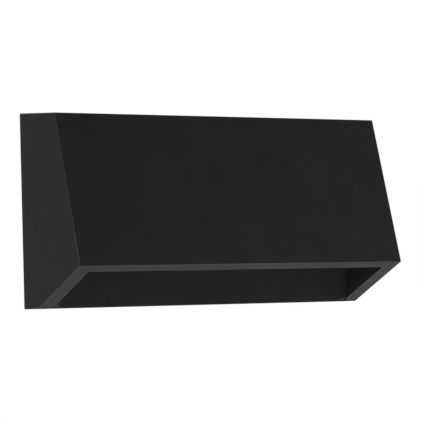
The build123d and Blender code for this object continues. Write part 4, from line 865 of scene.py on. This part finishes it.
# Fuse resistor. A ceramic rod with a wound film under green enamel, thicker at its end caps,
# with four generic colour bands and leads that bend down to the board.
WIRE_RADIUS = 0.00035
WIRE_BEND = 0.0005
WIRE_REACH = 0.0009
WAIST_SHARE = 0.86
CAP_START = 0.55
CAP_RISE = 0.20
END_START = 0.86
WIRE_HOLD = 0.0003
BAND_HALF = 0.00025
low, high = corners("fuse_resistor")
middle = (low + high) / 2
rod_radius = (high[2] - low[2]) / 2
wire_end = (high[0] - low[0]) / 2
rod_half = wire_end - WIRE_REACH
shares = np.linspace(-1, 1, 25)
caps = np.clip((np.abs(shares) - CAP_START) / CAP_RISE, 0, 1)
ends = np.clip((np.abs(shares) - END_START) / (1 - END_START), 0, 1)
bulge = (WAIST_SHARE + (1 - WAIST_SHARE) * caps) * np.sqrt(1 - ends**2)
along_x = np.array([(0.0, 0.0, 1.0), (0.0, 1.0, 0.0), (-1.0, 0.0, 0.0)])
rod_points = rings(*zip(rod_radius * bulge, rod_half * shares)) @ along_x + middle
rod = surface("fuse_resistor_rod", [rod_points])
enamel = Finish("resistor_body", Specular_IOR_Level=0.5)
along_rod = enamel.axis("X", middle[0])
coat = enamel.mix(enamel.noise(0.0008), tint(0.085, 0.21, 0.15), tint(0.12, 0.27, 0.19))
for place, band in (
    (-0.0019, grey(0.04)),
    (-0.0009, tint(0.30, 0.03, 0.02)),
    (0.0001, tint(0.55, 0.18, 0.02)),
    (0.0017, tint(0.50, 0.36, 0.10)),
):
    coat = enamel.mix(abs(along_rod - place) < BAND_HALF, coat, band)
enamel.colour(coat)
enamel.rough(0.34 + 0.14 * enamel.noise(0.0006))
enamel.bump(enamel.noise(0.0006), 0.00002)
takes_over(rod, "fuse_resistor", enamel)
wire_section = WIRE_RADIUS * np.stack((np.cos(angles[::4]), np.sin(angles[::4])), axis=-1)
wire_reach = wire_end - WIRE_RADIUS
bend = arc((wire_reach - WIRE_BEND, -WIRE_BEND), WIRE_BEND, 90, 0)
inside_cap = [(rod_half - WIRE_HOLD, 0.0, 0.0)]
at_board = [(wire_reach, 0.0, -rod_radius)]
wire = np.concatenate((inside_cap, bend, at_board))
wires = [swept(wire * (side, 1, 1) + middle, (0, 1, 0), wire_section) for side in (-1, 1)]
joins(surface("fuse_resistor_wires", wires), tinned)


# Terminal block. Natural nylon, slightly milky, moulded round brass sleeves that show inside the
# wire holes. Two screws between its poles hold it to the back box.
POLES = 3
POLE_MARGIN = 0.003
SLEEVE_RADIUS = 0.0015
SLEEVE_SINK = 0.0010
low, high = corners("terminal_block")
middle = (low + high) / 2
pole_pitch = (high[2] - low[2] - 2 * POLE_MARGIN) / (POLES - 1)
nylon = Finish(
    "terminal_nylon",
    Subsurface_Weight=0.2,
    Subsurface_Scale=0.001,
    Specular_IOR_Level=0.4,
)
off_pole = nylon.axis("Z", low[2] + POLE_MARGIN).off_centre(pole_pitch)
off_row = abs(nylon.axis("Y", middle[1]))
sunk = abs(nylon.axis("X", middle[0])) < (high[0] - low[0]) / 2 - SLEEVE_SINK
sleeve = (off_pole.either(off_row) < SLEEVE_RADIUS).both(sunk)
natural = nylon.mix(nylon.noise(0.005), tint(0.74, 0.73, 0.68), tint(0.80, 0.79, 0.75))
nylon.colour(nylon.mix(sleeve, natural, tint(0.70, 0.58, 0.34)))
nylon.metal(sleeve)
nylon.rough(0.40 + 0.12 * nylon.noise(0.0010))
nylon.bump(nylon.noise(0.0010), 0.00002)
nylon.dress("terminal_block")


# Clamp screws. Slotted screws without a head, cut from zinc-plated steel rod. They face the rear,
# one for each end of each sleeve, and their points press on the wires.
CLAMP_RADIUS = 0.0016
CLAMP_SLOT = 0.00032
SLOT_SHARE = 0.93
SLOT_DEPTH = 0.0007
RIM_SHARE = 0.94
RIM_CHAMFER = 0.00015
THREAD_START = 0.0002
POINT_SHARE = 0.7
POINT_LENGTH = 0.0004
low, high = corners("terminal_screws")
clamp_length = high[1] - low[1]
slot = rounded(SLOT_SHARE * CLAMP_RADIUS, CLAMP_SLOT, power=10)
clamp_top = rings(
    (0.0, -SLOT_DEPTH),
    (slot, -SLOT_DEPTH),
    (slot, 0.0),
    (np.maximum(slot, RIM_SHARE * CLAMP_RADIUS), 0.0),
    (CLAMP_RADIUS, -RIM_CHAMFER),
)
clamp_side = thread(CLAMP_RADIUS, M3[3], -THREAD_START, POINT_LENGTH - clamp_length)
clamp_tip = rings((POINT_SHARE * CLAMP_RADIUS, -clamp_length), (0.0, -clamp_length))
clamp = np.concatenate((clamp_top, clamp_side, clamp_tip)) @ aimed((0, 1, 0))
columns = (low[0] + CLAMP_RADIUS, high[0] - CLAMP_RADIUS)
levels = np.linspace(low[2] + CLAMP_RADIUS, high[2] - CLAMP_RADIUS, POLES)
clamps = [clamp + (x, high[1], z) for x in columns for z in levels]
takes_over(surface("terminal_screws_slotted", clamps), "terminal_screws", zinc)


# Earth point. A crimped ring lug in tin-plated copper, held to a boss of the back box by a
# brass screw.
brass = bright_metal("brass", tint(0.62, 0.45, 0.20), tint(0.74, 0.57, 0.30), 0.24)
cross_m4 = lobed(0.00150, 4, 0.45)
tinned.dress("earth_lug")
drive_in("earth_screw", M4, (0, 0, 1), cross_m4, brass, columns=1, rows=1)


# Leads. Stranded copper in silicone insulation, with the faint lines of the extruder along it.
# The earth lead has a yellow stripe on its green.
STRIPE_HALF = 0.00045


def insulation(finish_name, node, colour, stripe=None):
    """A satin insulation in one colour, or with a stripe on its top and underside."""
    jacket = Finish(finish_name, Specular_IOR_Level=0.4)
    low, high = corners(node)
    clouds = jacket.noise(0.003, 2.0)
    skin = jacket.mix(clouds, tint(*[0.9 * part for part in colour]), tint(*colour))
    if stripe:
        on_stripe = abs(jacket.axis("Y", (low[1] + high[1]) / 2)) < STRIPE_HALF
        skin = jacket.mix(on_stripe, skin, tint(*stripe))
    jacket.colour(skin)
    jacket.rough(0.36 + 0.16 * clouds)
    jacket.bump(jacket.noise(0.0005, 2.0, stretch=(0.1, 1.0, 1.0)), 0.000012)
    jacket.dress(node)


insulation("lead_brown", "live_lead", (0.16, 0.065, 0.030))
insulation("lead_blue", "neutral_lead", (0.035, 0.12, 0.42))
insulation("lead_green_yellow", "earth_lead", (0.05, 0.30, 0.06), stripe=(0.72, 0.60, 0.04))
insulation("lead_red", "led_lead_red", (0.50, 0.025, 0.020))
insulation("lead_black", "led_lead_black", (0.020, 0.020, 0.022))


# Solder joints. Each lead's end on the driver board is wrapped in a cone of tin solder with a
# hollow flank, as it sets when it creeps up the wire.
MAINS_LEAD = 0.0011
LED_LEAD = 0.0006
SOLDER_HEIGHT = 0.0008
SOLDER_GRIP = 1.04
SOLDER_SPREAD = 0.45
board_top = corners("driver_board")[1][2]
rise = np.linspace(0, 1, 7)
flank = SOLDER_GRIP + SOLDER_SPREAD * (1 - rise) ** 2
cones = []
for node, wire_radius, at_the_back in (
    ("live_lead", MAINS_LEAD, True),
    ("neutral_lead", MAINS_LEAD, False),
    ("led_lead_red", LED_LEAD, True),
    ("led_lead_black", LED_LEAD, True),
):
    low, high = corners(node)
    end = high - wire_radius if at_the_back else low + wire_radius
    place = np.array((high[0] - wire_radius, end[1], max(low[2], board_top)))
    side = zip(wire_radius * flank, SOLDER_HEIGHT * rise)
    cones.append(rings((0.0, 0.0), *side, (0.0, SOLDER_HEIGHT)) + place)
joins(surface("solder_joints", cones), tinned)


# Camera. The photograph's view, found by fitting the corners of the hood: its height is the
# unit of the fit, and the fit's origin is the middle of the hood's bottom edge on the wall.
SLOT_LEVEL = 0.020
PHOTO_WIDTH = 421
FOCAL_PIXELS = 2507.0
YAW, PITCH, ROLL = radians(-33.897), radians(2.278), radians(-1.556)
OFFSET = np.array((-0.1159, 0.5030, 13.3037))
turn_yaw = np.array([[cos(YAW), sin(YAW), 0], [-sin(YAW), cos(YAW), 0], [0, 0, 1]])
turn_pitch = np.array([[1, 0, 0], [0, cos(PITCH), sin(PITCH)], [0, -sin(PITCH), cos(PITCH)]])
turn_roll = np.array([[cos(ROLL), -sin(ROLL), 0], [sin(ROLL), cos(ROLL), 0], [0, 0, 1]])
to_picture = np.array([[1, 0, 0], [0, 0, -1], [0, 1, 0]])
world_to_view = turn_roll @ to_picture @ turn_pitch @ turn_yaw
camera_place = -world_to_view.T @ OFFSET * HOOD_HEIGHT - np.array((0, 0, SLOT_LEVEL))
view_turn = Matrix((world_to_view.T @ np.diag((1.0, -1.0, -1.0))).tolist())
camera = bpy.data.objects.new("camera", bpy.data.cameras.new("camera"))
camera.data.lens = FOCAL_PIXELS / PHOTO_WIDTH * camera.data.sensor_width
camera.matrix_world = Matrix.Translation(camera_place) @ view_turn.to_4x4()
bpy.context.scene.collection.objects.link(camera)
bpy.context.scene.camera = camera


# Studio. A pale floor below the light, a white surround and plain soft lamps. The floor glows a
# little to the eye, so that only the object's shadow shows on it, and is clear from below.
FLOOR_LEVEL = -0.13
FLOOR_HALF = 0.45
FLOOR_GLOW = 0.6
PLAIN_LIGHT = 0.05


def seen(recipe):
    """1 for rays that show something to the eye, straight, mirrored or through glass, and 0 for
    light on its way to a surface."""
    kinds = ("Is Camera Ray", "Is Glossy Ray", "Is Transmission Ray")
    straight, mirrored, through = [recipe.node("ShaderNodeLightPath", output=kind) for kind in kinds]
    return straight.either(mirrored).either(through)


floor_mesh = bpy.data.meshes.new("floor")
corner_signs = ((-1, -1), (1, -1), (1, 1), (-1, 1))
floor_points = [(FLOOR_HALF * x, FLOOR_HALF * y, FLOOR_LEVEL) for x, y in corner_signs]
floor_mesh.from_pydata(floor_points, [], [(0, 1, 2, 3)])
floor = bpy.data.objects.new("floor", floor_mesh)
bpy.context.scene.collection.objects.link(floor)
floor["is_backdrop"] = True
pale = Finish("pale_floor", Roughness=0.95, Specular_IOR_Level=0.0, Emission_Strength=1.0)
pale.colour(pale.mix(pale.noise(0.4), grey(0.83), grey(0.85)))
glow = pale.mix(seen(pale), grey(0.0), grey(FLOOR_GLOW))
pale.join(glow, pale.shader.inputs["Emission Color"])
clear_below = pale.node(
    "ShaderNodeMixShader",
    inputs={
        0: pale.node("ShaderNodeNewGeometry", output="Backfacing"),
        1: Signal(pale, pale.shader.outputs[0]),
        2: pale.node("ShaderNodeBsdfTransparent"),
    },
)
pale.join(clear_below, pale.tree.nodes["Material Output"].inputs["Surface"])
floor.data.materials.append(pale.material)

bpy.context.scene.world = bpy.data.worlds.new("surround")
sky = Recipe(bpy.context.scene.world)
surround = sky.node(
    "ShaderNodeMixShader",
    inputs={
        0: seen(sky),
        1: sky.node("ShaderNodeBackground", inputs={"Color": grey(1.0), "Strength": PLAIN_LIGHT}),
        2: sky.node("ShaderNodeBackground", inputs={"Color": grey(1.0), "Strength": 1.0}),
    },
)
sky.join(surround, sky.tree.nodes["World Output"].inputs["Surface"])


def soft_lamp(name, place, aim, size, watts, spread=180):
    """A square area lamp at a place, aimed at a point, its light kept within a spread in degrees."""
    lamp = bpy.data.objects.new(name, bpy.data.lights.new(name, "AREA"))
    lamp.data.spread = radians(spread)
    lamp.data.size = size
    lamp.data.energy = watts
    lamp.location = place
    lamp.rotation_euler = (Vector(aim) - Vector(place)).to_track_quat("-Z", "Y").to_euler()
    bpy.context.scene.collection.objects.link(lamp)


soft_lamp("left_lamp", (-1.2, 0.1, 0.3), (0, 0, 0.0), 0.8, 1.65)
soft_lamp("back_lamp", (0.1, 0.7, 1.1), (0, 0, -0.1), 0.9, 10.0)
soft_lamp("right_lamp", (0.42, 0.0, 0.6), (0.30, 0.0, FLOOR_LEVEL), 0.4, 0.6, spread=80)
soft_lamp("floor_lamp", (0.0, -0.42, 0.25), (0.0, -0.42, FLOOR_LEVEL), 0.5, 1.5, spread=70)

bpy.context.scene.view_settings.view_transform = "Standard"

low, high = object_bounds()
